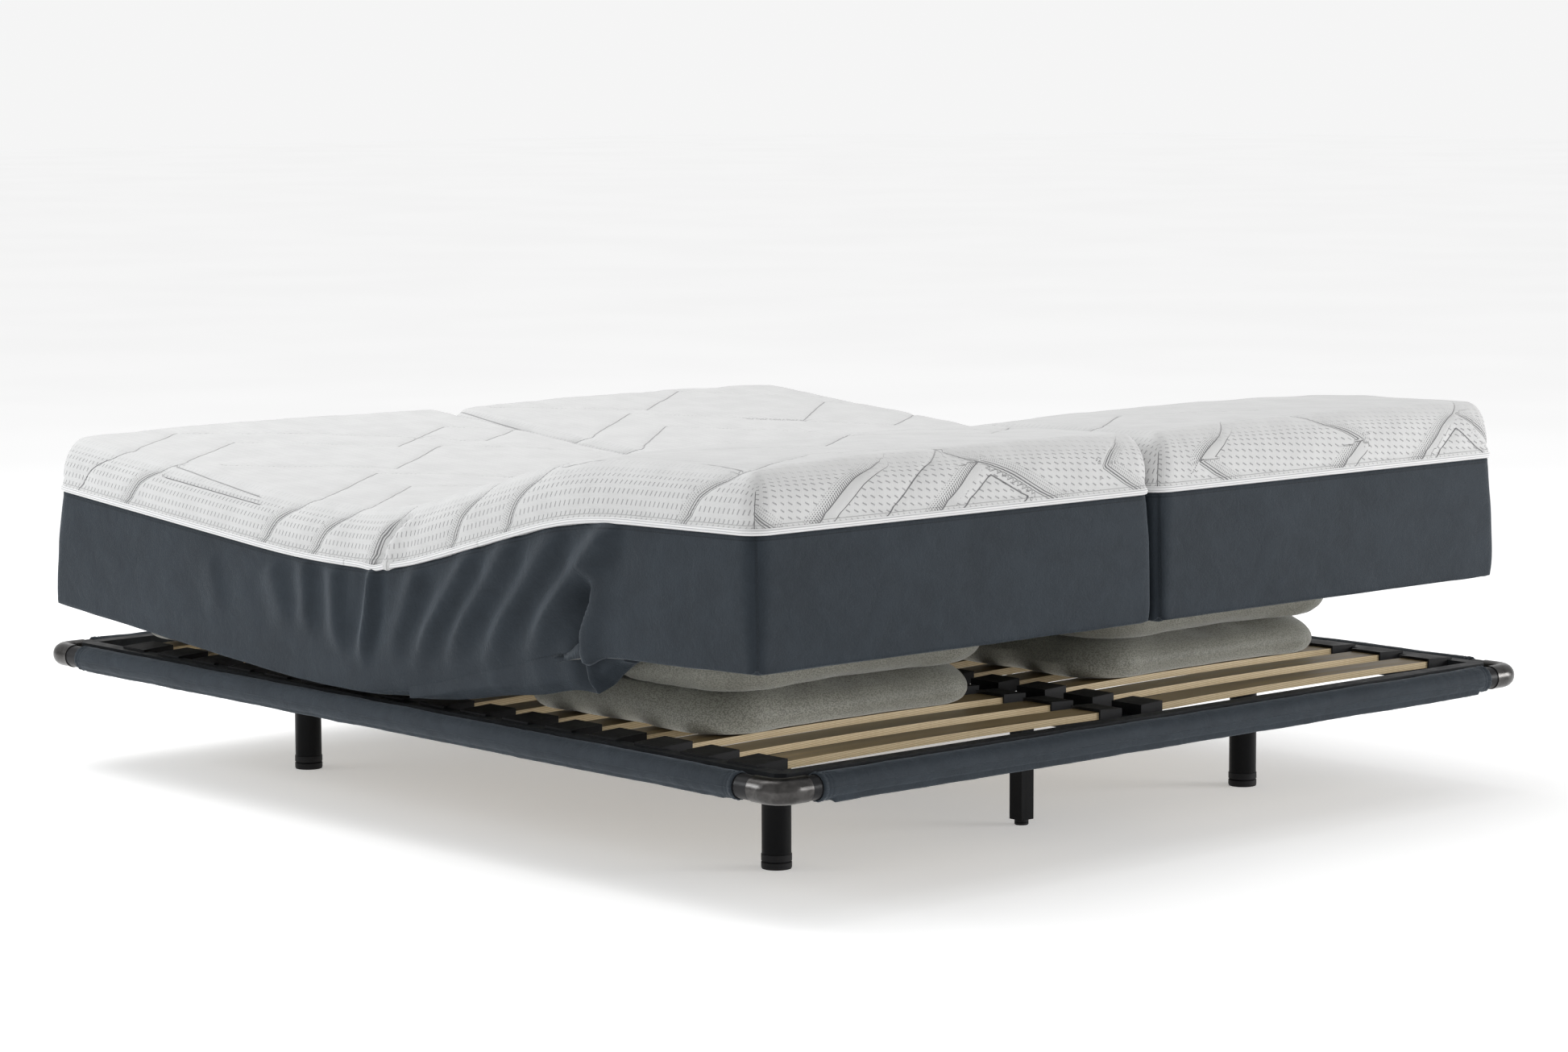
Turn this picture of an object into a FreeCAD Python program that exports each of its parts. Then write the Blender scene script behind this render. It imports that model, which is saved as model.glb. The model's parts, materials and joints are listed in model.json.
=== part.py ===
import FreeCAD, Part
import os
import Sketcher
from math import cos, radians, sin, tan

Vector = FreeCAD.Vector
Rotation = FreeCAD.Rotation
Placement = FreeCAD.Placement

# Twin adjustable bed for two people: a slatted base on legs, air cushions that lift the mattresses, and
# two bending mattresses. Millimetres. The origin is on the floor under the middle of the base, +X is the
# right-hand unit seen from the foot end, +Y is the head end and +Z is up.

SIZES = {
    # rail frame: the width and length join the corner points of the rail centre lines
    "bed_width": 1800,
    "bed_length": 2060,
    "rail_height": 213.7,
    "rail_diameter": 40,
    "rail_wall": 2,
    "elbow_diameter": 43,
    "elbow_arm": 55,
    "elbow_bend": 27,
    "spigot_diameter": 35.6,
    "spigot_length": 40,
    "sleeve_diameter": 47.5,
    "sleeve_bore": 40.4,
    "sleeve_setback_side": 88,
    "sleeve_setback_end": 76,
    # inner steel frame
    "edge_beam_outer_x": 874,
    "edge_beam_outer_y": 1004,
    "edge_beam_width": 28,
    "edge_beam_corner_cut": 14,
    "edge_beam_wall": 2.5,
    "frame_bottom": 190.2,
    "edge_beam_top": 236,
    "beam_wall": 2,
    "centre_beam_width": 60,
    "centre_beam_top": 220.8,
    "cross_beam_width": 50,
    "cross_beam_top": 211.5,
    "stud_diameter": 8,
    "stud_side_outer": 800,
    "stud_side_inner": 270,
    "stud_end_outer": 600,
    "bracket_reach": 6.2,
    "bracket_width": 13,
    "bracket_drop": 14,
    # slats and their holders
    "slat_count": 16,
    "slat_first": -896,
    "slat_pitch": 115.5,
    "slat_width": 62,
    "slat_thickness": 12,
    "slat_bottom": 225,
    "slat_camber": 4,
    "slat_tip_outer": 836,
    "slat_tip_inner": 33,
    "holder_width": 70,
    "holder_bottom": 221,
    "holder_mouth_outer": 792,
    "holder_back_outer": 845,
    "holder_lip_outer": 858,
    "holder_mouth_inner": 77,
    "holder_back_inner": 24,
    "holder_top_mouth": 243,
    "holder_top_back": 240.6,
    "holder_slot_bottom": 224.6,
    "holder_slot_height": 14,
    "holder_slot_width": 63,
    "holder_slot_depth": 46,
    "holder_seat_gap": 0.3,
    "holder_lip_step": 1,
    # legs
    "leg_x": 580,
    "leg_y": 667,
    "leg_diameter": 50,
    "leg_wall": 1.6,
    "leg_plate_length": 90,
    "leg_plate_thickness": 4,
    "leg_bolt_spacing": 70,
    "leg_bolt_diameter": 8,
    "leg_bolt_reach": 14,
    "leg_bolt_head": 13,
    "leg_bolt_head_height": 5.3,
    "leg_bolt_hole": 8.4,
    "drill_past": 0.5,
    "leg_foot_height": 25,
    "leg_foot_diameter": 52,
    "centre_leg_side": 30,
    "centre_foot_height": 10,
    "centre_foot_diameter": 25,
    "insert_height": 20,
    "foot_stud_diameter": 10,
    "foot_stud_length": 45,
    "foot_stud_clearance": 0.6,
    "foot_stud_gap": 0.2,
    "foot_edge_break": 1,
    "insert_gap": 0.2,
    # mattresses, drawn lying flat and then bent at three hinge lines
    "mattress_inner": 4.5,
    "mattress_outer": 909.5,
    "mattress_bottom": 243.5,
    "mattress_thickness": 330,
    "mattress_corner": 40,
    "hip_y": 229,
    "knee_y": -60,
    "head_length": 790,
    "thigh_length": 517,
    "foot_length": 423,
    "head_angle": 4.5,
    "thigh_angle": 14.8,
    "hip_fold": 41,
    "knee_fold": 26,
    "section_clearance": 0.5,
    # air cushions
    "cushion_bottom": 241.8,
    "cushion_clearance": 2,
    "cushion_side": 785,
    "cushion_inner": 112,
    "foot_cushion_end": -742,
    "foot_cushion_start": -170,
    "lower_chamber_top": 314,
    "upper_chamber_start": -400,
    "upper_chamber_end": -762,
    "head_cushion_start": 340,
    "head_cushion_end": 965,
    "cushion_corner": 100,
    # air pump under the centre beam, and its hoses
    "pump_width": 280,
    "pump_depth": 160,
    "pump_height": 40,
    "pump_y": 800,
    "pump_wall": 2.5,
    "pump_lid_thickness": 4,
    "pump_lid_corner": 8,
    "pump_gap": 0.4,
    "pump_lid_gap": 0.2,
    "inlet_width": 22,
    "inlet_height": 11,
    "inlet_level": 12,
    "hose_diameter": 10,
    "hose_bore": 6,
    "hose_height": 172,
    "hose_bend": 100,
    "hose_lead": 100,
    "foot_outlet_x": 60,
    "head_outlet_x": 100,
    "foot_port_x": 260,
    "head_port_x": 235,
    "foot_port_y": -376.25,
    "head_port_y": 432.25,
    "elbow_pipe": 9,
    "port_gap": 0.3,
}

# the levelling foot's outline: heights as shares of its own height, and how deep its groove is cut
FOOT_EDGE, GROOVE_BOTTOM, GROOVE_MIDDLE, GROOVE_TOP = 0.12, 0.44, 0.5, 0.56
GROOVE_DEPTH = {"centre": 1.2, "leg": 2}

document = FreeCAD.newDocument("AdjustableBed")
sheet = document.addObject("Spreadsheet::Sheet", "Sizes")
for row, (alias, number) in enumerate(SIZES.items(), start=1):
    sheet.set(f"A{row}", alias)
    sheet.set(f"B{row}", str(number))
    sheet.setAlias(f"B{row}", alias)
document.recompute()

parts = {}


class Size:
    """A length with its number and the sheet formula that gives it."""

    def __init__(self, number, formula):
        self.number = number
        self.formula = formula

    def join(self, sign, other, swap=False):
        if not isinstance(other, Size):
            other = Size(other, str(other))
        left, right = (other, self) if swap else (self, other)
        number = {
            "+": lambda a, b: a + b,
            "-": lambda a, b: a - b,
            "*": lambda a, b: a * b,
            "/": lambda a, b: a / b,
        }[sign](left.number, right.number)
        return Size(number, f"({left.formula} {sign} {right.formula})")

    def __add__(self, other):
        return self.join("+", other)

    def __radd__(self, other):
        return self.join("+", other, swap=True)

    def __sub__(self, other):
        return self.join("-", other)

    def __rsub__(self, other):
        return self.join("-", other, swap=True)

    def __mul__(self, other):
        return self.join("*", other)

    def __rmul__(self, other):
        return self.join("*", other, swap=True)

    def __truediv__(self, other):
        return self.join("/", other)

    def __neg__(self):
        return self.join("*", -1, swap=True)


def size(alias):
    return Size(SIZES[alias], f"Sizes.{alias}")


def bind(thing, prop, amount):
    """Sets a property from a Size, through its formula, or from a plain number."""
    if isinstance(amount, Size):
        thing.setExpression(prop, amount.formula)
    else:
        thing.setExpression(prop, str(amount))


def number_of(amount):
    return amount.number if isinstance(amount, Size) else amount


def keep(name, thing):
    """Registers a finished sub-part under the name of its node."""
    thing.Label = name
    parts[name] = thing
    return thing


# ---- sketches and features -----------------------------------------------------------------------


def new_body(name):
    body = document.addObject("PartDesign::Body", name)
    body.AllowCompound = True
    return body


def origin_feature(body, role):
    return next(f for f in body.Origin.OriginFeatures if f.Role == role)


def sketch_on(body, role, offset=0):
    """An empty sketch on one of the body's origin planes, moved along the plane's normal."""
    sketch = body.newObject("Sketcher::SketchObject", f"{body.Name}_sketch")
    sketch.AttachmentSupport = [(origin_feature(body, role), "")]
    sketch.MapMode = "FlatFace"
    bind(sketch, "AttachmentOffset.Base.z", offset)
    return sketch


def pin(sketch, edge, end, kind, amount):
    """Holds one end of an edge at a distance from the sketch origin."""
    index = sketch.addConstraint(
        Sketcher.Constraint(kind, -1, 1, edge, end, number_of(amount))
    )
    bind(sketch, f"Constraints[{index}]", amount)


def outline(sketch, corners):
    """A closed outline of straight edges, with each corner held at its own two sizes."""
    first = sketch.GeometryCount
    points = [Vector(number_of(u), number_of(v), 0) for u, v in corners]
    count = len(points)
    for k in range(count):
        sketch.addGeometry(Part.LineSegment(points[k], points[(k + 1) % count]))
    for k in range(count):
        following = first + (k + 1) % count
        sketch.addConstraint(Sketcher.Constraint("Coincident", first + k, 2, following, 1))
    for k, (u, v) in enumerate(corners):
        pin(sketch, first + k, 1, "DistanceX", u)
        pin(sketch, first + k, 1, "DistanceY", v)


def rectangle(sketch, u0, u1, v0, v1):
    outline(sketch, [(u0, v0), (u1, v0), (u1, v1), (u0, v1)])


def circle(sketch, u, v, diameter):
    edge = sketch.addGeometry(
        Part.Circle(Vector(number_of(u), number_of(v), 0), Vector(0, 0, 1), number_of(diameter) / 2)
    )
    pin(sketch, edge, 3, "DistanceX", u)
    pin(sketch, edge, 3, "DistanceY", v)
    index = sketch.addConstraint(Sketcher.Constraint("Diameter", edge, number_of(diameter)))
    bind(sketch, f"Constraints[{index}]", diameter)


def pad(body, sketch, length, both_ways=False, reverse=False):
    feature = body.newObject("PartDesign::Pad", f"{body.Name}_pad")
    feature.Profile = sketch
    feature.SideType = "Symmetric" if both_ways else "One side"
    feature.Reversed = reverse
    bind(feature, "Length", length)
    body.Tip = feature
    document.recompute()
    return feature


def pocket(body, sketch, depth, reverse=False, both_ways=False):
    """Cuts a sketch out of the body and makes sure that it removes something."""
    before = body.Shape.Volume
    feature = body.newObject("PartDesign::Pocket", f"{body.Name}_pocket")
    feature.Profile = sketch
    feature.SideType = "Symmetric" if both_ways else "One side"
    feature.Reversed = reverse
    bind(feature, "Length", depth)
    body.Tip = feature
    document.recompute()
    if body.Shape.Volume > before - 1:
        raise RuntimeError(f"{body.Name}: the pocket cuts nothing")
    return feature


def repeat_along_y(body, features, count, pitch):
    pattern = body.newObject("PartDesign::LinearPattern", f"{body.Name}_row")
    pattern.Originals = features
    pattern.Direction = (origin_feature(body, "Y_Axis"), [""])
    pattern.Mode = "Extent"
    bind(pattern, "Occurrences", count)
    bind(pattern, "Length", (count - 1) * pitch)
    body.Tip = pattern
    document.recompute()
    return pattern


def is_upright(box):
    """True for the box of an edge that runs straight up."""
    return box.XLength < 1 and box.YLength < 1 and box.ZLength > 1


def fillet_where(body, test, radius):
    """Rounds the edges of the body's last feature whose middle point passes the test."""
    base = body.Tip
    names = [
        f"Edge{i}"
        for i, edge in enumerate(base.Shape.Edges, start=1)
        if test(edge.BoundBox)
    ]
    feature = body.newObject("PartDesign::Fillet", f"{body.Name}_fillet")
    feature.Base = (base, names)
    bind(feature, "Radius", radius)
    body.Tip = feature
    document.recompute()
    return feature


def compound(name, things):
    group = document.addObject("Part::Compound", name)
    group.Links = things
    return keep(name, group)


# ---- rail frame ----------------------------------------------------------------------------------

half_width = size("bed_width") / 2
half_length = size("bed_length") / 2
rail_z = size("rail_height")


def rail_tube(name, along, place, outer, inner, half):
    """A round tube, its axis along X or Y, centred on the middle of the bed in that direction."""
    body = new_body(name)
    sketch = sketch_on(body, "YZ_Plane" if along == "x" else "XZ_Plane")
    circle(sketch, place, rail_z, outer)
    circle(sketch, place, rail_z, inner)
    pad(body, sketch, 2 * half, both_ways=True)
    return keep(name, body)


def make_rails():
    bore = size("rail_diameter") - 2 * size("rail_wall")
    spans = (
        ("left", "y", -half_width, half_length, size("sleeve_setback_side")),
        ("right", "y", half_width, half_length, size("sleeve_setback_side")),
        ("foot", "x", -half_length, half_width, size("sleeve_setback_end")),
        ("head", "x", half_length, half_width, size("sleeve_setback_end")),
    )
    for side, along, place, half, setback in spans:
        rail_tube(
            f"rail_{side}", along, place, size("rail_diameter"), bore, half - size("elbow_arm")
        )
        rail_tube(
            f"rail_sleeve_{side}",
            along,
            place,
            size("sleeve_diameter"),
            size("sleeve_bore"),
            half - setback,
        )


def make_elbow(name, x_side, y_side):
    """A corner elbow: a bent tube-shaped casting with a spigot at each end for the rails."""
    body = new_body(name)
    corner_x = x_side * half_width
    corner_y = y_side * half_length
    path = sketch_on(body, "XY_Plane", rail_z)
    arm = size("elbow_arm")
    bend = size("elbow_bend")
    x_end = corner_x - x_side * arm
    x_turn = corner_x - x_side * bend
    y_end = corner_y - y_side * arm
    y_turn = corner_y - y_side * bend
    centre = Vector(x_turn.number, y_turn.number, 0)
    radius = bend.number
    quarter = {(1, 1): 0, (-1, 1): 90, (-1, -1): 180, (1, -1): 270}[(x_side, y_side)]
    arc = Part.ArcOfCircle(
        Part.Circle(centre, Vector(0, 0, 1), radius), radians(quarter), radians(quarter + 90)
    )
    along_x = Part.LineSegment(
        Vector(x_end.number, corner_y.number, 0), Vector(x_turn.number, corner_y.number, 0)
    )
    along_y = Part.LineSegment(
        Vector(corner_x.number, y_turn.number, 0), Vector(corner_x.number, y_end.number, 0)
    )
    path.addGeometry([along_x, arc, along_y])
    arc_at_x = 2 if x_side * y_side > 0 else 1
    path.addConstraint(Sketcher.Constraint("Tangent", 0, 2, 1, arc_at_x))
    path.addConstraint(Sketcher.Constraint("Tangent", 1, 3 - arc_at_x, 2, 1))
    pin(path, 0, 1, "DistanceX", x_end)
    pin(path, 0, 1, "DistanceY", corner_y)
    pin(path, 2, 2, "DistanceX", corner_x)
    pin(path, 2, 2, "DistanceY", y_end)
    index = path.addConstraint(Sketcher.Constraint("Radius", 1, radius))
    bind(path, f"Constraints[{index}]", bend)
    path.addConstraint(Sketcher.Constraint("Horizontal", 0))
    profile = sketch_on(body, "YZ_Plane", x_end)
    circle(profile, corner_y, rail_z, size("elbow_diameter"))
    document.recompute()
    pipe = body.newObject("PartDesign::AdditivePipe", f"{name}_bend")
    pipe.Profile = profile
    pipe.Spine = path
    body.Tip = pipe
    document.recompute()
    spigot_x = sketch_on(body, "YZ_Plane", x_end)
    circle(spigot_x, corner_y, rail_z, size("spigot_diameter"))
    pad(body, spigot_x, size("spigot_length"), reverse=x_side > 0)
    spigot_y = sketch_on(body, "XZ_Plane", -y_end)
    circle(spigot_y, corner_x, rail_z, size("spigot_diameter"))
    pad(body, spigot_y, size("spigot_length"), reverse=y_side < 0)
    return keep(name, body)


# ---- inner steel frame ---------------------------------------------------------------------------

frame_bottom = size("frame_bottom")
edge_x = size("edge_beam_outer_x")
edge_y = size("edge_beam_outer_y")
edge_width = size("edge_beam_width")
inner_x = edge_x - edge_width
inner_y = edge_y - edge_width


def make_edge_beam(name, along, side):
    """A mitred steel channel, open below, on one edge of the inner frame."""
    cut = size("edge_beam_corner_cut")
    wall = size("edge_beam_wall")

    def corners(far, near, half_far, half_mid, half_near, far_mid):
        """The six corners of a mitred beam, first across the bed and then along it."""
        return [
            (side * near, -half_near),
            (side * far_mid, -half_mid),
            (side * far, -half_far),
            (side * far, half_far),
            (side * far_mid, half_mid),
            (side * near, half_near),
        ]

    if along == "y":
        shape = corners(edge_x, inner_x, edge_y - cut, edge_y - cut / 2, inner_y, edge_x - cut / 2)
        hollow = [side * (inner_x + wall), side * (edge_x - wall), -inner_y, inner_y]
    else:
        shape = corners(edge_y, inner_y, edge_x - cut, edge_x - cut / 2, inner_x, edge_y - cut / 2)
        hollow = [-inner_x, inner_x, side * (inner_y + wall), side * (edge_y - wall)]
    if along == "x":
        shape = [(v, u) for u, v in shape]
    body = new_body(name)
    sketch = sketch_on(body, "XY_Plane", frame_bottom)
    outline(sketch, shape)
    height = size("edge_beam_top") - frame_bottom
    pad(body, sketch, height)
    channel = sketch_on(body, "XY_Plane", frame_bottom)
    rectangle(channel, *hollow)
    pocket(body, channel, height - wall, reverse=True)
    return keep(name, body)


def box_beam(body, role, u0, u1, v0, v1, start, length, reverse=False):
    """A rectangular steel tube extruded from an origin plane."""
    wall = size("beam_wall")
    sketch = sketch_on(body, role, start)
    rectangle(sketch, u0, u1, v0, v1)
    rectangle(sketch, u0 + wall, u1 - wall, v0 + wall, v1 - wall)
    return pad(body, sketch, length, reverse=reverse)


def bolt_holes(body, spots):
    """Bolt holes through the underside of a beam."""
    sketch = sketch_on(body, "XY_Plane", frame_bottom)
    for x, y in spots:
        circle(sketch, x, y, size("leg_bolt_hole"))
    pocket(body, sketch, size("beam_wall") + size("drill_past"), reverse=True)


def hole_on_axis(sketch, axis, at):
    """A bolt hole whose centre lies on one of the sketch's own axes."""
    centre = Vector(at.number, 0, 0) if axis == "x" else Vector(0, at.number, 0)
    hole = size("leg_bolt_hole")
    edge = sketch.addGeometry(Part.Circle(centre, Vector(0, 0, 1), hole.number / 2))
    line, kind = (-1, "DistanceX") if axis == "x" else (-2, "DistanceY")
    sketch.addConstraint(Sketcher.Constraint("PointOnObject", edge, 3, line))
    pin(sketch, edge, 3, kind, at)
    index = sketch.addConstraint(Sketcher.Constraint("Diameter", edge, hole.number))
    bind(sketch, f"Constraints[{index}]", hole)


def bolt_pair(x, y):
    half = size("leg_bolt_spacing") / 2
    return [(x - half, y), (x + half, y)]


def make_centre_beam():
    body = new_body("centre_beam")
    half = size("centre_beam_width") / 2
    box_beam(
        body, "XZ_Plane", -half, half, frame_bottom, size("centre_beam_top"), -inner_y, 2 * inner_y
    )
    sketch = sketch_on(body, "XY_Plane", frame_bottom)
    for end in (-1, 1):
        for sign in (-1, 1):
            hole_on_axis(sketch, "y", end * size("leg_y") + sign * size("leg_bolt_spacing") / 2)
    pocket(body, sketch, size("beam_wall") + size("drill_past"), reverse=True)
    return keep("centre_beam", body)


def make_cross_beam(name, y_side):
    """Two box tubes in one line, one on each side of the centre beam."""
    body = new_body(name)
    middle = y_side * size("leg_y")
    half = size("cross_beam_width") / 2
    start = size("centre_beam_width") / 2
    for side in (-1, 1):
        box_beam(
            body,
            "YZ_Plane",
            middle - half,
            middle + half,
            frame_bottom,
            size("cross_beam_top"),
            side * start,
            inner_x - start,
            reverse=side < 0,
        )
    spots = bolt_pair(-size("leg_x"), middle) + bolt_pair(size("leg_x"), middle)
    bolt_holes(body, spots)
    return keep(name, body)


def make_frame_fixings():
    """Studs that join the inner frame to the rails, and the small brackets at the elbows."""
    studs = []
    outer_y, inner_y_stud = SIZES["stud_side_outer"], SIZES["stud_side_inner"]
    end_x = SIZES["stud_end_outer"]
    for side in (-1, 1):
        for y in (-outer_y, -inner_y_stud, inner_y_stud, outer_y):
            stud = document.addObject("Part::Cylinder", "frame_stud")
            bind(stud, "Radius", size("stud_diameter") / 2)
            bind(stud, "Height", half_width - size("rail_diameter") / 2 - edge_x)
            stud.Placement = Placement(
                Vector(side * SIZES["edge_beam_outer_x"], y, SIZES["rail_height"]),
                Rotation(Vector(0, 1, 0), 90 * side),
            )
            studs.append(stud)
        for x in (-end_x, 0, end_x):
            stud = document.addObject("Part::Cylinder", "frame_stud")
            bind(stud, "Radius", size("stud_diameter") / 2)
            bind(stud, "Height", half_length - size("rail_diameter") / 2 - edge_y)
            stud.Placement = Placement(
                Vector(x, side * SIZES["edge_beam_outer_y"], SIZES["rail_height"]),
                Rotation(Vector(1, 0, 0), -90 * side),
            )
            studs.append(stud)
    compound("frame_studs", studs)
    brackets = []
    reach = SIZES["bracket_reach"]
    width = SIZES["bracket_width"]
    drop = SIZES["bracket_drop"]
    cut = SIZES["edge_beam_corner_cut"]
    for x_side, y_side, turn in ((1, 1, 45), (-1, 1, 135), (-1, -1, 225), (1, -1, 315)):
        bracket = document.addObject("Part::Box", "corner_bracket")
        bind(bracket, "Length", size("bracket_reach"))
        bind(bracket, "Width", size("bracket_width"))
        bind(bracket, "Height", size("bracket_drop"))
        face = Vector(
            x_side * (SIZES["edge_beam_outer_x"] - cut / 2),
            y_side * (SIZES["edge_beam_outer_y"] - cut / 2),
            SIZES["rail_height"] - drop / 2,
        )
        rotation = Rotation(Vector(0, 0, 1), turn)
        bracket.Placement = Placement(face + rotation.multVec(Vector(0, -width / 2, 0)), rotation)
        brackets.append(bracket)
    compound("corner_brackets", brackets)


# ---- slats ---------------------------------------------------------------------------------------


def make_slats(name, side):
    """A row of cambered slats: each is an arched strip of layered wood."""
    body = new_body(name)
    sketch = sketch_on(body, "XZ_Plane", -(size("slat_first") - size("slat_width") / 2))
    inner = side * size("slat_tip_inner")
    outer = side * size("slat_tip_outer")
    left, right = (inner, outer) if side > 0 else (outer, inner)
    chord = size("slat_tip_outer") - size("slat_tip_inner")
    rise = size("slat_camber")
    radius = chord * chord / (8 * rise) + rise / 2
    bottom = size("slat_bottom")
    top = bottom + size("slat_thickness")

    def arch(level):
        middle = (left.number + right.number) / 2
        return Part.Arc(
            Vector(right.number, level.number, 0),
            Vector(middle, level.number + rise.number, 0),
            Vector(left.number, level.number, 0),
        )

    def upright(at):
        return Part.LineSegment(
            Vector(at.number, bottom.number, 0), Vector(at.number, top.number, 0)
        )

    sketch.addGeometry([arch(bottom), arch(top), upright(left), upright(right)])
    joins = ((0, 1, 3, 1), (1, 1, 3, 2), (0, 2, 2, 1), (1, 2, 2, 2))
    for join in joins:
        sketch.addConstraint(Sketcher.Constraint("Coincident", *join))
    for edge, at in ((2, left), (3, right)):
        for end, level in ((1, bottom), (2, top)):
            pin(sketch, edge, end, "DistanceX", at)
            pin(sketch, edge, end, "DistanceY", level)
    for edge in (0, 1):
        index = sketch.addConstraint(Sketcher.Constraint("Radius", edge, radius.number))
        bind(sketch, f"Constraints[{index}]", radius)
    slat = pad(body, sketch, size("slat_width"), reverse=True)
    repeat_along_y(body, [slat], size("slat_count"), size("slat_pitch"))
    return keep(name, body)


def make_holders(name, side, place):
    """A row of slat holders: caps with a slot for the slat's end and a lip over the edge beam."""
    body = new_body(name)
    first = size("slat_first")
    bottom = size("holder_bottom")
    mouth = side * size(f"holder_mouth_{place}")
    back = side * size(f"holder_back_{place}")
    profile = [(mouth, bottom), (back, bottom)]
    if place == "outer":
        lip = side * size("holder_lip_outer")
        seat = size("edge_beam_top") + size("holder_seat_gap")
        lip_top = size("holder_top_back") - size("holder_lip_step")
        profile += [(back, seat), (lip, seat), (lip, lip_top)]
    profile += [(back, size("holder_top_back")), (mouth, size("holder_top_mouth"))]
    sketch = sketch_on(body, "XZ_Plane", -(first - size("holder_width") / 2))
    outline(sketch, profile)
    cap = pad(body, sketch, size("holder_width"), reverse=True)
    slot = sketch_on(body, "YZ_Plane", mouth)
    half = size("holder_slot_width") / 2
    low = size("holder_slot_bottom")
    rectangle(slot, first - half, first + half, low, low + size("holder_slot_height"))
    inward = back.number > mouth.number
    cut = pocket(body, slot, size("holder_slot_depth"), reverse=inward)
    repeat_along_y(body, [cap, cut], size("slat_count"), size("slat_pitch"))
    return keep(name, body)


# ---- legs ----------------------------------------------------------------------------------------


def make_leg(name, x, y, square):
    """A leg tube with a bolting plate welded on top."""
    body = new_body(name)
    if square:
        bottom = size("centre_foot_height")
        plate_x, plate_y = size("centre_beam_width"), size("leg_plate_length")
    else:
        bottom = size("leg_foot_height")
        plate_x, plate_y = size("leg_plate_length"), size("cross_beam_width")
    plate_bottom = frame_bottom - size("leg_plate_thickness")
    tube = sketch_on(body, "XY_Plane", bottom)
    if square:
        half = size("centre_leg_side") / 2
        wall = size("leg_wall")
        rectangle(tube, -half, half, -half, half)
        rectangle(tube, -half + wall, half - wall, -half + wall, half - wall)
    else:
        centred_circle(tube, size("leg_diameter"))
        centred_circle(tube, size("leg_diameter") - 2 * size("leg_wall"))
    pad(body, tube, plate_bottom - bottom)
    plate = sketch_on(body, "XY_Plane", plate_bottom)
    rectangle(plate, -plate_x / 2, plate_x / 2, -plate_y / 2, plate_y / 2)
    for sign in (-1, 1):
        hole_on_axis(plate, "y" if square else "x", sign * size("leg_bolt_spacing") / 2)
    pad(body, plate, size("leg_plate_thickness"))
    bind(body, "Placement.Base.x", x)
    bind(body, "Placement.Base.y", y)
    return keep(name, body)


def centred_circle(sketch, diameter):
    edge = sketch.addGeometry(Part.Circle(Vector(0, 0, 0), Vector(0, 0, 1), diameter.number / 2))
    sketch.addConstraint(Sketcher.Constraint("Coincident", edge, 3, -1, 1))
    index = sketch.addConstraint(Sketcher.Constraint("Diameter", edge, diameter.number))
    bind(sketch, f"Constraints[{index}]", diameter)


def make_levelling_foot(name, x, y, square):
    """A plastic levelling foot on a threaded stud, turned from one profile."""
    body = new_body(name)
    sketch = sketch_on(body, "XZ_Plane")
    kind = "centre" if square else "leg"
    radius = size(f"{kind}_foot_diameter") / 2
    height = size(f"{kind}_foot_height")
    stud = size("foot_stud_diameter") / 2
    top = height + size("foot_stud_length")
    groove = radius - GROOVE_DEPTH[kind]
    shoulder = height - size("foot_stud_gap")
    profile = [
        (Size(0, "0"), Size(0, "0")),
        (radius - size("foot_edge_break"), Size(0, "0")),
        (radius, height * FOOT_EDGE),
        (radius, height * GROOVE_BOTTOM),
        (groove, height * GROOVE_MIDDLE),
        (radius, height * GROOVE_TOP),
        (radius, shoulder),
        (stud, shoulder),
        (stud, top),
        (Size(0, "0"), top),
    ]
    points = [Vector(u.number, v.number, 0) for u, v in profile]
    count = len(points)
    for k in range(count):
        sketch.addGeometry(Part.LineSegment(points[k], points[(k + 1) % count]))
    for k in range(count):
        sketch.addConstraint(Sketcher.Constraint("Coincident", k, 2, (k + 1) % count, 1))
    sketch.addConstraint(Sketcher.Constraint("Coincident", 0, 1, -1, 1))
    sketch.addConstraint(Sketcher.Constraint("PointOnObject", 0, 2, -1))
    sketch.addConstraint(Sketcher.Constraint("PointOnObject", count - 1, 1, -2))
    for k, (u, v) in enumerate(profile):
        if u.number:
            pin(sketch, k, 1, "DistanceX", u)
        if v.number:
            pin(sketch, k, 1, "DistanceY", v)
    turned = body.newObject("PartDesign::Revolution", f"{name}_turned")
    turned.Profile = sketch
    turned.ReferenceAxis = (sketch, ["V_Axis"])
    turned.Angle = 360
    body.Tip = turned
    document.recompute()
    bind(body, "Placement.Base.x", x)
    bind(body, "Placement.Base.y", y)
    return keep(name, body)


def make_legs():
    inserts = []
    bolts = []
    places = [
        (f"{end}_{side}", x_side * size("leg_x"), y_side * size("leg_y"), False)
        for end, y_side in (("foot", -1), ("head", 1))
        for side, x_side in (("left", -1), ("right", 1))
    ]
    places += [
        (f"centre_{end}", Size(0, "0"), y_side * size("leg_y"), True)
        for end, y_side in (("foot", -1), ("head", 1))
    ]
    for place, x, y, square in places:
        make_leg(f"leg_{place}", x, y, square)
        make_levelling_foot(f"levelling_foot_{place}", x, y, square)
        inserts.append(make_insert(x, y, square))
        half = size("leg_bolt_spacing") / 2
        for sign in (-1, 1):
            bolt_x = x if square else x + sign * half
            bolt_y = y + sign * half if square else y
            bolts.append(make_bolt(bolt_x, bolt_y))
    compound("leg_inserts", inserts)
    compound("leg_bolts", bolts)


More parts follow.
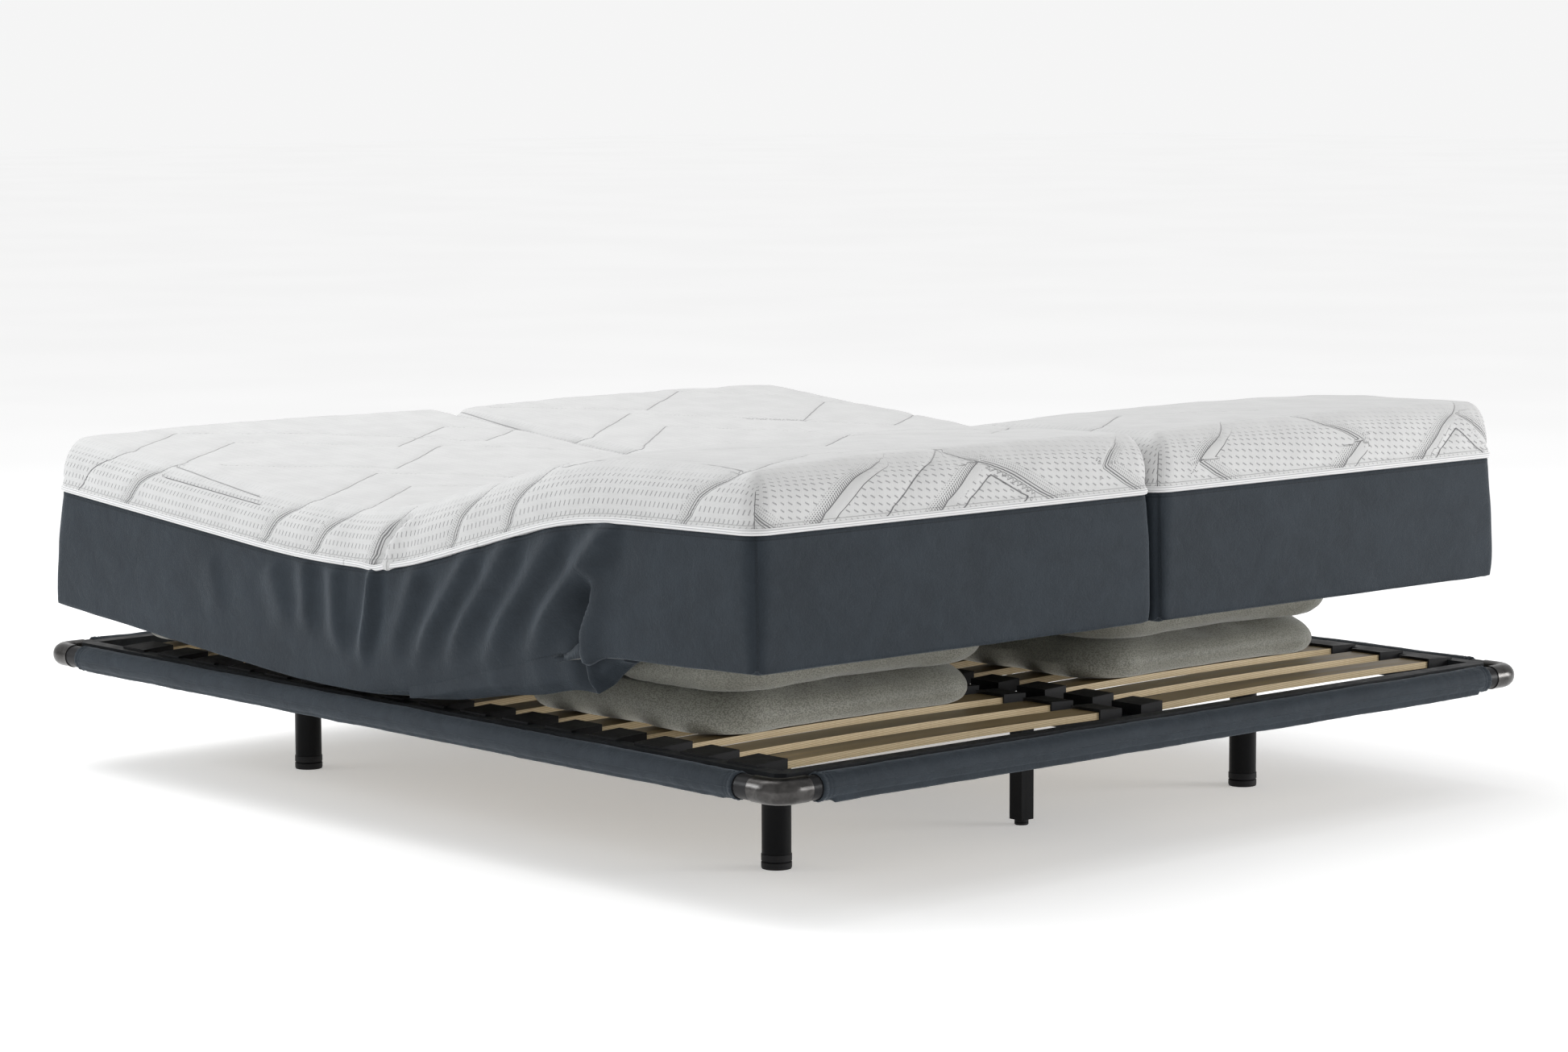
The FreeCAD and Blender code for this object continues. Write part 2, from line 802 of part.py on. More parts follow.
def make_insert(x, y, square):
    """A threaded plug in the bottom of a leg tube."""
    bore = document.addObject("Part::Cylinder", "insert_bore")
    bind(bore, "Radius", (size("foot_stud_diameter") + size("foot_stud_clearance")) / 2)
    bind(bore, "Height", size("insert_height"))
    if square:
        plug = document.addObject("Part::Box", "insert_plug")
        inside = size("centre_leg_side") - 2 * size("leg_wall") - 2 * size("insert_gap")
        bind(plug, "Length", inside)
        bind(plug, "Width", inside)
        bind(plug, "Placement.Base.x", -inside / 2)
        bind(plug, "Placement.Base.y", -inside / 2)
        bottom = size("centre_foot_height")
    else:
        plug = document.addObject("Part::Cylinder", "insert_plug")
        bind(plug, "Radius", size("leg_diameter") / 2 - size("leg_wall") - size("insert_gap"))
        bottom = size("leg_foot_height")
    bind(plug, "Height", size("insert_height"))
    insert = document.addObject("Part::Cut", "leg_insert")
    insert.Base = plug
    insert.Tool = bore
    bind(insert, "Placement.Base.x", x)
    bind(insert, "Placement.Base.y", y)
    bind(insert, "Placement.Base.z", bottom)
    return insert


def make_bolt(x, y):
    """A hexagon-headed bolt with its head under the leg plate."""
    head = document.addObject("Part::Prism", "bolt_head")
    head.Polygon = 6
    bind(head, "Circumradius", size("leg_bolt_head") / 2 / cos(radians(30)))
    bind(head, "Height", size("leg_bolt_head_height"))
    shank = document.addObject("Part::Cylinder", "bolt_shank")
    bind(shank, "Radius", size("leg_bolt_diameter") / 2)
    bind(shank, "Height", size("leg_bolt_head_height") + size("leg_bolt_reach"))
    bolt = document.addObject("Part::Fuse", "leg_bolt")
    bolt.Base = head
    bolt.Tool = shank
    bind(bolt, "Placement.Base.x", x)
    bind(bolt, "Placement.Base.y", y)
    under_plate = frame_bottom - size("leg_plate_thickness") - size("leg_bolt_head_height")
    bind(bolt, "Placement.Base.z", under_plate)
    return bolt


# ---- mattresses ----------------------------------------------------------------------------------

flat_bottom = size("mattress_bottom")
half_thick = size("mattress_thickness") / 2
bend_level = flat_bottom + half_thick
flat_top = flat_bottom + size("mattress_thickness")
gap = size("section_clearance")


def turned_about(y, z, angle):
    """The placement that turns a section about a hinge line along X."""
    return Placement(Vector(0, 0, 0), Rotation(Vector(1, 0, 0), angle), Vector(0, y, z))


def lean(fold_alias):
    """How far a section's end face leans back, from the bend level to the top or the bottom."""
    return half_thick * tan(radians(SIZES[fold_alias] / 2))


def mattress_profiles():
    """The flat outline (y, z) of each section, with the room that each bend needs."""
    hip = size("hip_y")
    knee = size("knee_y")
    ankle = knee - size("thigh_length")
    head_end = hip + size("head_length")
    foot_end = ankle - size("foot_length")
    hip_lean = lean("hip_fold")
    knee_lean = lean("knee_fold")
    return {
        "head": [
            (hip + gap, flat_bottom),
            (head_end, flat_bottom),
            (head_end, flat_top),
            (hip + gap + hip_lean, flat_top),
            (hip + gap, bend_level),
        ],
        "seat": [
            (knee + gap, flat_bottom),
            (hip - gap, flat_bottom),
            (hip - gap, bend_level),
            (hip - gap - hip_lean, flat_top),
            (knee + gap + knee_lean, flat_top),
            (knee + gap, bend_level),
        ],
        "thigh": [
            (ankle + gap + knee_lean, flat_bottom),
            (knee - gap, flat_bottom),
            (knee - gap, bend_level),
            (knee - gap - knee_lean, flat_top),
            (ankle + gap, flat_top),
            (ankle + gap, bend_level),
        ],
        "foot": [
            (foot_end, flat_bottom),
            (ankle - gap - knee_lean, flat_bottom),
            (ankle - gap, bend_level),
            (ankle - gap, flat_top),
            (foot_end, flat_top),
        ],
    }


def rest_placements():
    """Where the sections lie in the rest pose: head a little raised, foot end lifted and level."""
    level = bend_level.number
    thigh = turned_about(SIZES["knee_y"], level, -SIZES["thigh_angle"])
    ankle = Vector(0, SIZES["knee_y"] - SIZES["thigh_length"], level)
    return {
        "head": turned_about(SIZES["hip_y"], level, SIZES["head_angle"]),
        "seat": Placement(),
        "thigh": thigh,
        "foot": Placement(thigh.multVec(ankle) - ankle, Rotation()),
    }


def make_mattress(side_name, side):
    profiles = mattress_profiles()
    places = rest_placements()
    inner = side * size("mattress_inner")
    outer = side * size("mattress_outer")
    for section, profile in profiles.items():
        name = f"mattress_{section}_{side_name}"
        body = new_body(name)
        sketch = sketch_on(body, "YZ_Plane", inner if side > 0 else outer)
        outline(sketch, profile)
        pad(body, sketch, size("mattress_outer") - size("mattress_inner"))
        if section in ("head", "foot"):
            end = max(profile, key=lambda corner: abs(corner[0].number))[0].number
            fillet_where(
                body,
                lambda box: is_upright(box) and abs(box.YMin - end) < 1,
                size("mattress_corner"),
            )
        body.Placement = places[section]
        keep(name, body)


# ---- air cushions --------------------------------------------------------------------------------


def thigh_underside(y):
    """Height of the raised thigh section's underside at a place along the bed."""
    angle = radians(SIZES["thigh_angle"])
    along = Size(SIZES["knee_y"], "Sizes.knee_y") - y
    return bend_level + along * tan(angle) - half_thick / cos(angle)


def head_underside(y):
    angle = radians(SIZES["head_angle"])
    return bend_level + (y - size("hip_y")) * tan(angle) - half_thick / cos(angle)


def make_cushion(name, side, profile):
    """An air cushion: a padded-out profile with rounded upright corners."""
    body = new_body(name)
    inner = side * size("cushion_inner")
    outer = side * size("cushion_side")
    sketch = sketch_on(body, "YZ_Plane", inner if side > 0 else outer)
    outline(sketch, profile)
    pad(body, sketch, size("cushion_side") - size("cushion_inner"))
    fillet_where(body, is_upright, size("cushion_corner"))
    return keep(name, body)


def make_cushions(side_name, side):
    clear = size("cushion_clearance")
    bottom = size("cushion_bottom")
    chamber_top = size("lower_chamber_top")
    end = size("foot_cushion_end")
    start = size("foot_cushion_start")
    angle = radians(SIZES["thigh_angle"])
    under_thigh = chamber_top + clear + half_thick / cos(angle)
    flat_from = size("knee_y") - (under_thigh - bend_level) / tan(angle)
    make_cushion(
        f"foot_cushion_lower_{side_name}",
        side,
        [
            (end, bottom),
            (start, bottom),
            (start, thigh_underside(start) - clear),
            (flat_from, chamber_top),
            (end, chamber_top),
        ],
    )
    ankle_drop = SIZES["thigh_length"] * cos(radians(SIZES["thigh_angle"]))
    ankle = size("knee_y") - ankle_drop
    lift = SIZES["thigh_length"] * sin(radians(SIZES["thigh_angle"]))
    foot_level = flat_bottom + lift - clear
    upper_start = size("upper_chamber_start")
    upper_end = size("upper_chamber_end")
    make_cushion(
        f"foot_cushion_upper_{side_name}",
        side,
        [
            (upper_end, chamber_top + 1),
            (upper_start, chamber_top + 1),
            (upper_start, thigh_underside(upper_start) - clear),
            (ankle, foot_level - clear * 2),
            (upper_end, foot_level),
        ],
    )
    head_start = size("head_cushion_start")
    head_end = size("head_cushion_end")
    make_cushion(
        f"head_cushion_{side_name}",
        side,
        [
            (head_start, bottom),
            (head_end, bottom),
            (head_end, head_underside(head_end) - clear),
            (head_start, head_underside(head_start) - clear),
        ],
    )


# ---- air supply ----------------------------------------------------------------------------------


def make_pump():
    """A shallow pump case hung under the centre beam: a tray with an inlet, and a lid."""
    half = size("pump_width") / 2
    wall = size("pump_wall")
    depth = size("pump_depth") / 2
    middle = size("pump_y")
    top = frame_bottom - size("pump_gap")
    lid = size("pump_lid_thickness")
    floor = top - size("pump_height")
    tray = new_body("pump_tray")
    sketch = sketch_on(tray, "XY_Plane", floor)
    rectangle(sketch, -half, half, middle - depth, middle + depth)
    pad(tray, sketch, size("pump_height") - lid)
    hollow = sketch_on(tray, "XY_Plane", top - lid)
    rectangle(
        hollow, -half + wall, half - wall, middle - depth + wall, middle + depth - wall
    )
    pocket(tray, hollow, size("pump_height") - lid - wall)
    inlet = sketch_on(tray, "XZ_Plane", -(middle + depth))
    half_inlet = size("inlet_width") / 2
    sill = floor + size("inlet_level")
    rectangle(inlet, -half_inlet, half_inlet, sill, sill + size("inlet_height"))
    pocket(tray, inlet, wall + 1, reverse=True)
    keep("pump_tray", tray)
    cover = new_body("pump_lid")
    plate = sketch_on(cover, "XY_Plane", top - lid)
    rectangle(plate, -half, half, middle - depth, middle + depth)
    pad(cover, plate, lid - size("pump_lid_gap"))
    fillet_where(cover, is_upright, size("pump_lid_corner"))
    keep("pump_lid", cover)


def bend(corner, before, after, radius):
    """The arc of a given radius that rounds a corner of a route, from one run to the next."""
    into = (corner - before).normalize()
    out = (after - corner).normalize()
    half_turn = into.getAngle(out) / 2
    setback = radius * tan(half_turn)
    start = corner - into * setback
    end = corner + out * setback
    towards = (out - into).normalize()
    middle = corner + towards * (radius / cos(half_turn) - radius)
    return Part.Arc(start, middle, end)


def tube_along(name, points, radius, diameter, bore):
    """A tube along straight runs joined by tangent arcs."""
    arcs = [
        bend(points[k], points[k - 1], points[k + 1], radius) for k in range(1, len(points) - 1)
    ]
    edges = []
    here = points[0]
    for arc in arcs:
        edges.append(Part.LineSegment(here, arc.StartPoint).toShape())
        edges.append(arc.toShape())
        here = arc.EndPoint
    edges.append(Part.LineSegment(here, points[-1]).toShape())
    spine = Part.Wire(edges)
    direction = points[1] - points[0]
    solids = []
    for width in (diameter, bore):
        ring = Part.Wire(Part.makeCircle(width / 2, points[0], direction))
        solids.append(spine.makePipeShell([ring], True, True))
    tube = document.addObject("Part::Feature", name)
    tube.Shape = solids[0].cut(solids[1])
    tube.Placement = Placement()
    return tube


def air_hose(name, outlet_x, port_x, port_y):
    """A hose from the pump's front to the spigot of a port elbow, both held by their fittings."""
    level = SIZES["hose_height"]
    lead = SIZES["hose_lead"]
    front = SIZES["pump_y"] - SIZES["pump_depth"] / 2
    end = port_y + SIZES["elbow_pipe"] * 3
    points = [
        Vector(outlet_x, front, level),
        Vector(outlet_x, front - lead, level),
        Vector(port_x, end + lead, level),
        Vector(port_x, end, level),
    ]
    return tube_along(
        name, points, SIZES["hose_bend"], SIZES["hose_diameter"], SIZES["hose_bore"]
    )


def port_elbow(x, y):
    """A pipe that drops from a cushion between two slats and turns towards the pump."""
    pipe = SIZES["elbow_pipe"]
    level = SIZES["hose_height"]
    points = [
        Vector(x, y, SIZES["cushion_bottom"] - SIZES["port_gap"]),
        Vector(x, y, level),
        Vector(x, y + 3 * pipe, level),
    ]
    return tube_along("port_elbow", points, 1.5 * pipe, pipe, pipe / 2)


def make_air_lines():
    elbows = []
    for side_name, side in (("left", -1), ("right", 1)):
        lines = []
        for use in ("foot", "head"):
            port_x = side * SIZES[f"{use}_port_x"]
            port_y = SIZES[f"{use}_port_y"]
            outlet_x = side * SIZES[f"{use}_outlet_x"]
            lines.append(air_hose(f"{use}_hose_{side_name}", outlet_x, port_x, port_y))
            elbows.append(port_elbow(port_x, port_y))
        compound(f"air_hoses_{side_name}", lines)
    compound("port_elbows", elbows)


# ---- the whole bed -------------------------------------------------------------------------------


def build():
    make_rails()
    for end, y_side in (("foot", -1), ("head", 1)):
        for side_name, side in (("left", -1), ("right", 1)):
            make_elbow(f"corner_elbow_{end}_{side_name}", side, y_side)
        make_edge_beam(f"edge_beam_{end}", "x", y_side)
        make_cross_beam(f"cross_beam_{end}", y_side)
    make_centre_beam()
    make_frame_fixings()
    for side_name, side in (("left", -1), ("right", 1)):
        make_edge_beam(f"edge_beam_{side_name}", "y", side)
        make_slats(f"slats_{side_name}", side)
        for place in ("outer", "inner"):
            make_holders(f"slat_holders_{side_name}_{place}", side, place)
        make_mattress(side_name, side)
        make_cushions(side_name, side)
    make_legs()
    make_pump()
    make_air_lines()


def check():
    """Stops if any object of the document failed, or any sub-part has no sound shape."""
    document.recompute()
    for thing in document.Objects:
        if "Invalid" in thing.State or "Error" in thing.State:
            raise RuntimeError(f"{thing.Label}: {thing.State}")
    for name, thing in parts.items():
        shape = thing.Shape
        if shape.isNull() or not shape.isValid() or not shape.Solids:
            raise RuntimeError(f"{name}: no sound shape")


def export():
    os.makedirs("parts", exist_ok=True)
    for name, thing in sorted(parts.items()):
        thing.Shape.exportStep(f"parts/{name}.step")
        box = thing.Shape.BoundBox
        print(
            f"{name}: {len(thing.Shape.Solids)} solids, x {box.XMin:.1f}..{box.XMax:.1f}, "
            f"y {box.YMin:.1f}..{box.YMax:.1f}, z {box.ZMin:.1f}..{box.ZMax:.1f}"
        )
    print(len(parts), "nodes")


build()
check()
export()
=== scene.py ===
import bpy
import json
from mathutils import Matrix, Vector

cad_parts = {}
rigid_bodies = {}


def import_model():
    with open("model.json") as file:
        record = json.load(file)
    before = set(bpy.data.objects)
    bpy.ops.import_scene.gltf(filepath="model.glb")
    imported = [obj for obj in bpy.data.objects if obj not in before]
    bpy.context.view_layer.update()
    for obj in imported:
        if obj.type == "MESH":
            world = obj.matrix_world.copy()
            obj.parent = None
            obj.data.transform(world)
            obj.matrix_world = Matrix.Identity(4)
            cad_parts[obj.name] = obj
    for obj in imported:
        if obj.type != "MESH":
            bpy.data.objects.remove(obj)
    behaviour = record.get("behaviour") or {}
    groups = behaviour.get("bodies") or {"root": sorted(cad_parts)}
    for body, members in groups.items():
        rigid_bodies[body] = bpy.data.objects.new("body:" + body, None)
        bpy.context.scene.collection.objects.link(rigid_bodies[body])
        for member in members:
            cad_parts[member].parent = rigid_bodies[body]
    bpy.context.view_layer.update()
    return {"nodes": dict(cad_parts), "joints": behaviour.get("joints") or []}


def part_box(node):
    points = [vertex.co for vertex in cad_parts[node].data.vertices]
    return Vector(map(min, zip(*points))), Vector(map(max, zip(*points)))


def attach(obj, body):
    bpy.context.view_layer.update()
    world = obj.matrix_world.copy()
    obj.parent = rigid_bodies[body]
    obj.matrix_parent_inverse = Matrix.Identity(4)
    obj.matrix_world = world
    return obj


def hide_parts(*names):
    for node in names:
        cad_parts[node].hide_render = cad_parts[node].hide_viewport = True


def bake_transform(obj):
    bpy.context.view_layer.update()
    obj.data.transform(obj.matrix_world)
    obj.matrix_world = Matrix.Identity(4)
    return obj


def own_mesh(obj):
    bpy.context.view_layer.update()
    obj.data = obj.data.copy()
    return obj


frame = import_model()

import json
import math

import bpy
import bmesh
import numpy as np
from mathutils import Matrix, Vector

# An adjustable twin bed: rail frame, slats, air cushions and two bending mattresses. Metres. The origin is
# on the floor under the middle, +X is the right-hand unit seen from the foot end and +Y is the head end.

nodes = frame["nodes"]
joints = {j["name"]: j for j in frame["joints"]}
scene = bpy.context.scene

# ---- camera, floor and light -----------------------------------------------------------------------

CAMERA_PLACE = Vector((-5.2337, -5.8606, 1.3811))
CAMERA_AHEAD = Vector((0.66441, 0.73850, -0.11481))
CAMERA_ROLL = math.radians(-0.165)
CAMERA_LENS = 97.29


def make_camera():
    data = bpy.data.cameras.new("camera")
    camera = bpy.data.objects.new("camera", data)
    scene.collection.objects.link(camera)
    data.lens = CAMERA_LENS
    data.sensor_width = 36
    data.clip_start = 0.1
    data.clip_end = 60
    turn = CAMERA_AHEAD.to_track_quat("-Z", "Y").to_matrix().to_4x4()
    camera.matrix_world = Matrix.Translation(CAMERA_PLACE) @ turn @ Matrix.Rotation(CAMERA_ROLL, 4, "Z")
    scene.camera = camera


def make_area_light(name, place, target, size, power, tint=(1, 1, 1)):
    data = bpy.data.lights.new(name, "AREA")
    data.shape = "RECTANGLE"
    data.size, data.size_y = size
    data.energy = power
    data.color = tint
    lamp = bpy.data.objects.new(name, data)
    scene.collection.objects.link(lamp)
    lamp.location = place
    lamp.rotation_euler = (Vector(target) - Vector(place)).to_track_quat("-Z", "Y").to_euler()


def make_studio():
    world = bpy.data.worlds.new("studio")
    world.use_nodes = True
    tree = world.node_tree
    background = tree.nodes["Background"]
    # a white room that is dimmer overhead, so that shapes keep their shading
    place = tree.nodes.new("ShaderNodeTexCoord")
    axes = tree.nodes.new("ShaderNodeSeparateXYZ")
    ramp = tree.nodes.new("ShaderNodeMapRange")
    tree.links.new(place.outputs["Generated"], axes.inputs[0])
    tree.links.new(axes.outputs[2], ramp.inputs["Value"])
    for key, value in {"From Min": 0.012, "From Max": 0.05, "To Min": 0.915, "To Max": 0.62}.items():
        ramp.inputs[key].default_value = value
    background.inputs["Color"].default_value = (1.0, 1.0, 1.0, 1)
    tree.links.new(ramp.outputs["Result"], background.inputs["Strength"])
    scene.world = world
    scene.view_settings.view_transform = "Standard"
    make_area_light("light_top", (-0.6, 1.2, 4.0), (0, 0, 0.5), (3.6, 3.6), 95)
    make_area_light("light_foot", (4.9, -5.0, 1.3), (0.5, -0.9, 0.45), (3.0, 1.8), 180)
    make_area_light("light_side", (-4.6, 3.6, 2.5), (-0.9, -0.3, 0.45), (1.6, 1.8), 85, (0.95, 0.98, 1.0))


# ---- sizes taken from the frame ----------------------------------------------------------------------

hip = Vector(joints["head_lift_left"]["pos_m"])
knee = Vector(joints["thigh_lift_left"]["pos_m"])
ankle = Vector(joints["foot_level_left"]["pos_m"])
HEAD_ANGLE = math.radians(-joints["head_lift_left"]["range_deg"][0])
THIGH_ANGLE = math.radians(-joints["thigh_lift_left"]["range_deg"][0])

seat_low, seat_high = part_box("mattress_seat_left")
foot_low, foot_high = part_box("mattress_foot_left")
head_low, head_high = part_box("mattress_head_left")
THICK = seat_high.z - seat_low.z
HALF = THICK / 2
WIDTH = seat_high.x - seat_low.x
FOOT_RUN = ankle.y - foot_low.y
THIGH_RUN = (knee - ankle).length
SEAT_RUN = hip.y - knee.y
HEAD_RUN = (head_high.y - hip.y - HALF * math.sin(HEAD_ANGLE)) / math.cos(HEAD_ANGLE)
ANKLE_S = FOOT_RUN
KNEE_S = ANKLE_S + THIGH_RUN
HIP_S = KNEE_S + SEAT_RUN
LENGTH = HIP_S + HEAD_RUN
CUT_THIGH = ANKLE_S + THIGH_RUN / 2
CUT_SEAT = KNEE_S + SEAT_RUN / 2
BORDER = 0.230  # height of the velvet border, where the piping runs
SIDE_EDGE = WIDTH / 2
WALL = THICK - BORDER  # height of the white wall, from the piping to the top's edge
DASH_ROW, DASH_STEP = 0.0175, 0.0112  # the net of dashes in the knit
CORNER = 0.036  # plan radius of the mattress corners at the piping
UNDER_CLEAR = 0.0055  # how far the underside is raised, clear of the slats
VELVET_TURN = 0.012  # how far the velvet turns in under the mattress


# ---- material helper -------------------------------------------------------------------------------


class Paint:
    """A material on the Principled shader, with short calls for the nodes that feed it."""

    def __init__(self, name, **constants):
        self.material = bpy.data.materials.new(name)
        self.material.use_nodes = True
        self.tree = self.material.node_tree
        self.shader = self.tree.nodes["Principled BSDF"]
        for key, value in constants.items():
            self.set(key.replace("_", " "), value)

    def set(self, socket, value):
        named = {s.name.lower(): s for s in self.shader.inputs}
        self.plug(named[socket.lower()], value)

    def plug(self, socket, value):
        if isinstance(value, bpy.types.NodeSocket):
            self.tree.links.new(value, socket)
        elif isinstance(value, tuple) and len(value) == 3 and len(socket.default_value) == 4:
            socket.default_value = (*value, 1)
        else:
            socket.default_value = value

    def node(self, kind, inputs=None, **settings):
        made = self.tree.nodes.new("ShaderNode" + kind)
        for key, value in settings.items():
            setattr(made, key, value)
        for key, value in (inputs or {}).items():
            self.plug(made.inputs[key], value)
        return made

    def math(self, operation, *values, clamp=False):
        made = self.node("Math", dict(enumerate(values)), operation=operation, use_clamp=clamp)
        return made.outputs[0]

    def chain(self, operation, total, *others):
        for other in others:
            total = self.math(operation, total, other)
        return total

    def times(self, *values):
        return self.chain("MULTIPLY", *values)

    def plus(self, *values):
        return self.chain("ADD", *values)

    def most(self, *values):
        return self.chain("MAXIMUM", *values)

    def less(self, first, second):
        return self.math("SUBTRACT", first, second)

    def size(self, value):
        return self.math("ABSOLUTE", value)

    def wave(self, value, pitch):
        """A sine with one wave to each pitch."""
        return self.math("SINE", self.times(value, 2 * math.pi / pitch))

    def place(self):
        return self.node("TexCoord").outputs["Object"]

    def cloth(self, name="cloth"):
        return self.node("UVMap", uv_map=name).outputs["UV"]

    def scaled(self, vector, scale):
        return self.node("Mapping", {"Vector": vector, "Scale": scale}).outputs["Vector"]

    def split(self, vector):
        return self.node("SeparateXYZ", {0: vector}).outputs

    def noise(self, vector, scale, detail=3.0, rough=0.55, distort=0.0):
        made = self.node(
            "TexNoise",
            {"Vector": vector, "Scale": scale, "Detail": detail, "Roughness": rough, "Distortion": distort},
        )
        return made.outputs["Fac"]

    def ramp(self, value, low, high, out_low=0.0, out_high=1.0, smooth=True):
        made = self.node(
            "MapRange",
            {"Value": value, "From Min": low, "From Max": high, "To Min": out_low, "To Max": out_high},
            interpolation_type="SMOOTHSTEP" if smooth else "LINEAR",
        )
        return made.outputs["Result"]

    def fall(self, value, low, high):
        """1 up to low, 0 from high on."""
        return self.ramp(value, low, high, 1.0, 0.0)

    def near(self, value, centre, width):
        """1 where value is centre, falling to 0 at width either side."""
        return self.fall(self.size(self.less(value, centre)), 0.0, width)

    def mix(self, share, first, second):
        made = self.node("Mix", data_type="RGBA")
        self.plug(made.inputs["Factor"], share)
        self.plug(made.inputs[6], first)
        self.plug(made.inputs[7], second)
        return made.outputs[2]

    def bump(self, height, distance, strength=1.0, normal=None):
        inputs = {"Height": height, "Distance": distance, "Strength": strength}
        if normal is not None:
            inputs["Normal"] = normal
        return self.node("Bump", inputs).outputs["Normal"]


def shade(base, factor):
    return tuple(c * factor for c in base)


# ---- materials -------------------------------------------------------------------------------------

TRIPLE_GAP = 0.0044  # from the middle line of a triple line to the lines beside it
STRIP = 0.0205  # width of the plain strip beside a ribbed edge
RIB = 0.0046  # pitch of the ribs' strokes
KNIT_ROW = 0.0048
GATHER = 0.0125  # pitch of the gathers between the hem and the piping, drawn as stripes of painted shade
HEM = 0.0155  # height above the piping of the hem, where a line of painted shade runs
DASH_LEAN = (0.90, -0.44)  # the way a dash points, across and along
STITCH_WIDTH = 0.0016
MESH_PITCH = 0.0042
CORD_PITCH, THREAD_PITCH = 0.0042, 0.0019
PLY = 0.0024  # thickness of two layers of the plywood
SLAT_MIDDLE, SLAT_HALF, SLAT_ARCH = 0.4345, 0.4015, 0.004  # a slat's middle, half length and camber


def velvet_paint(name, base, streak=0.0, stitch=None):
    """Short-pile velvet: mottled nap, fine grain, a soft sheen, worn streaks, and a seam at a height."""
    p = Paint(
        name,
        Roughness=0.62,
        Specular_IOR_Level=0.16,
        Sheen_Weight=0.26,
        Sheen_Roughness=0.30,
        Sheen_Tint=(0.66, 0.74, 0.82),
    )
    where = p.cloth()
    broad = p.noise(where, 5.0, 4, 0.6)
    cloudy = p.noise(where, 26.0, 4, 0.62, 0.4)
    fine = p.noise(where, 260.0, 2, 0.6)
    pile = p.noise(where, 1500.0, 1, 0.5)
    tone = p.plus(p.times(broad, 0.5), p.times(cloudy, 0.34), p.times(fine, 0.16))
    colour = p.mix(p.ramp(tone, 0.36, 0.64), shade(base, 0.86), shade(base, 1.14))
    if streak:
        worn = p.noise(p.scaled(where, (9, 60, 60)), 1.0, 5, 0.7)
        colour = p.mix(p.times(p.ramp(worn, 0.55, 0.75), streak), colour, shade(base, 2.0))
    if stitch is not None:
        sewn = p.near(p.split(where)[1], stitch, STITCH_WIDTH)
        colour = p.mix(p.times(sewn, 0.65), colour, shade(base, 0.35))
    p.set("Base Color", colour)
    nap = p.bump(cloudy, 0.004, 0.5)
    p.set("Normal", p.bump(p.plus(pile, p.times(fine, 1.6)), 0.0006, 0.7, nap))
    return p.material


def slanted_dashes(p, across, along):
    """Short slanted strokes in a net of cells, each row a little out of step with the last."""
    row = p.math("DIVIDE", across, DASH_ROW)
    column = p.plus(p.math("DIVIDE", along, DASH_STEP), p.times(p.math("FLOOR", row), 0.12))
    in_row = p.times(p.less(p.math("FRACT", row), 0.5), DASH_ROW)
    in_column = p.times(p.less(p.math("FRACT", column), 0.5), DASH_STEP)
    lean_across, lean_along = DASH_LEAN
    lengthwise = p.plus(p.times(in_row, lean_across), p.times(in_column, lean_along))
    sideways = p.less(p.times(in_row, lean_along), p.times(in_column, lean_across))
    return p.times(p.fall(p.size(sideways), 0.0005, 0.0013), p.fall(p.size(lengthwise), 0.0040, 0.0056))


def ribs_and_dots(p, away, run, is_ribbed, is_triple):
    """Strokes next to a ribbed edge that break up into dots away from it, and faint dots by a triple line."""
    gate = p.times(p.wave(away, RIB), p.ramp(away, 0.007, 0.010))
    level = p.ramp(away, 0.004, 0.030, -0.1, 1.9, smooth=False)
    tone = p.less(p.plus(p.wave(run, RIB), gate), level)
    ribs = p.times(p.ramp(tone, 0.0, 0.5), p.ramp(away, 0.0004, 0.002), p.fall(away, 0.026, 0.031))
    dots = p.times(ribs, p.ramp(away, 0.006, 0.008), is_triple, 0.55)
    return p.most(p.times(ribs, is_ribbed), dots)


def hem_shade_and_seams(p, across, along, depth, side_depth, end_depth):
    """Painted shade along the hem above the piping and on the gathers between the two, and the seam up each
    corner.
    """
    # the hem's line and the gathers' darker stripes are painted shade
    hem = p.near(depth, WALL - HEM, 0.0010)
    gather = p.ramp(p.wave(p.plus(across, along), GATHER), 0.55, 0.95)
    gather = p.times(gather, p.ramp(depth, WALL - HEM + 0.001, WALL - HEM + 0.003))
    side_seam = p.times(p.fall(p.size(end_depth), 0.0006, 0.0016), p.ramp(side_depth, 0.012, 0.020))
    end_seam = p.times(p.fall(p.size(side_depth), 0.0006, 0.0016), p.ramp(end_depth, 0.012, 0.020))
    return p.most(p.times(hem, 0.45), p.times(gather, 0.35), p.times(p.most(side_seam, end_seam), 0.85))


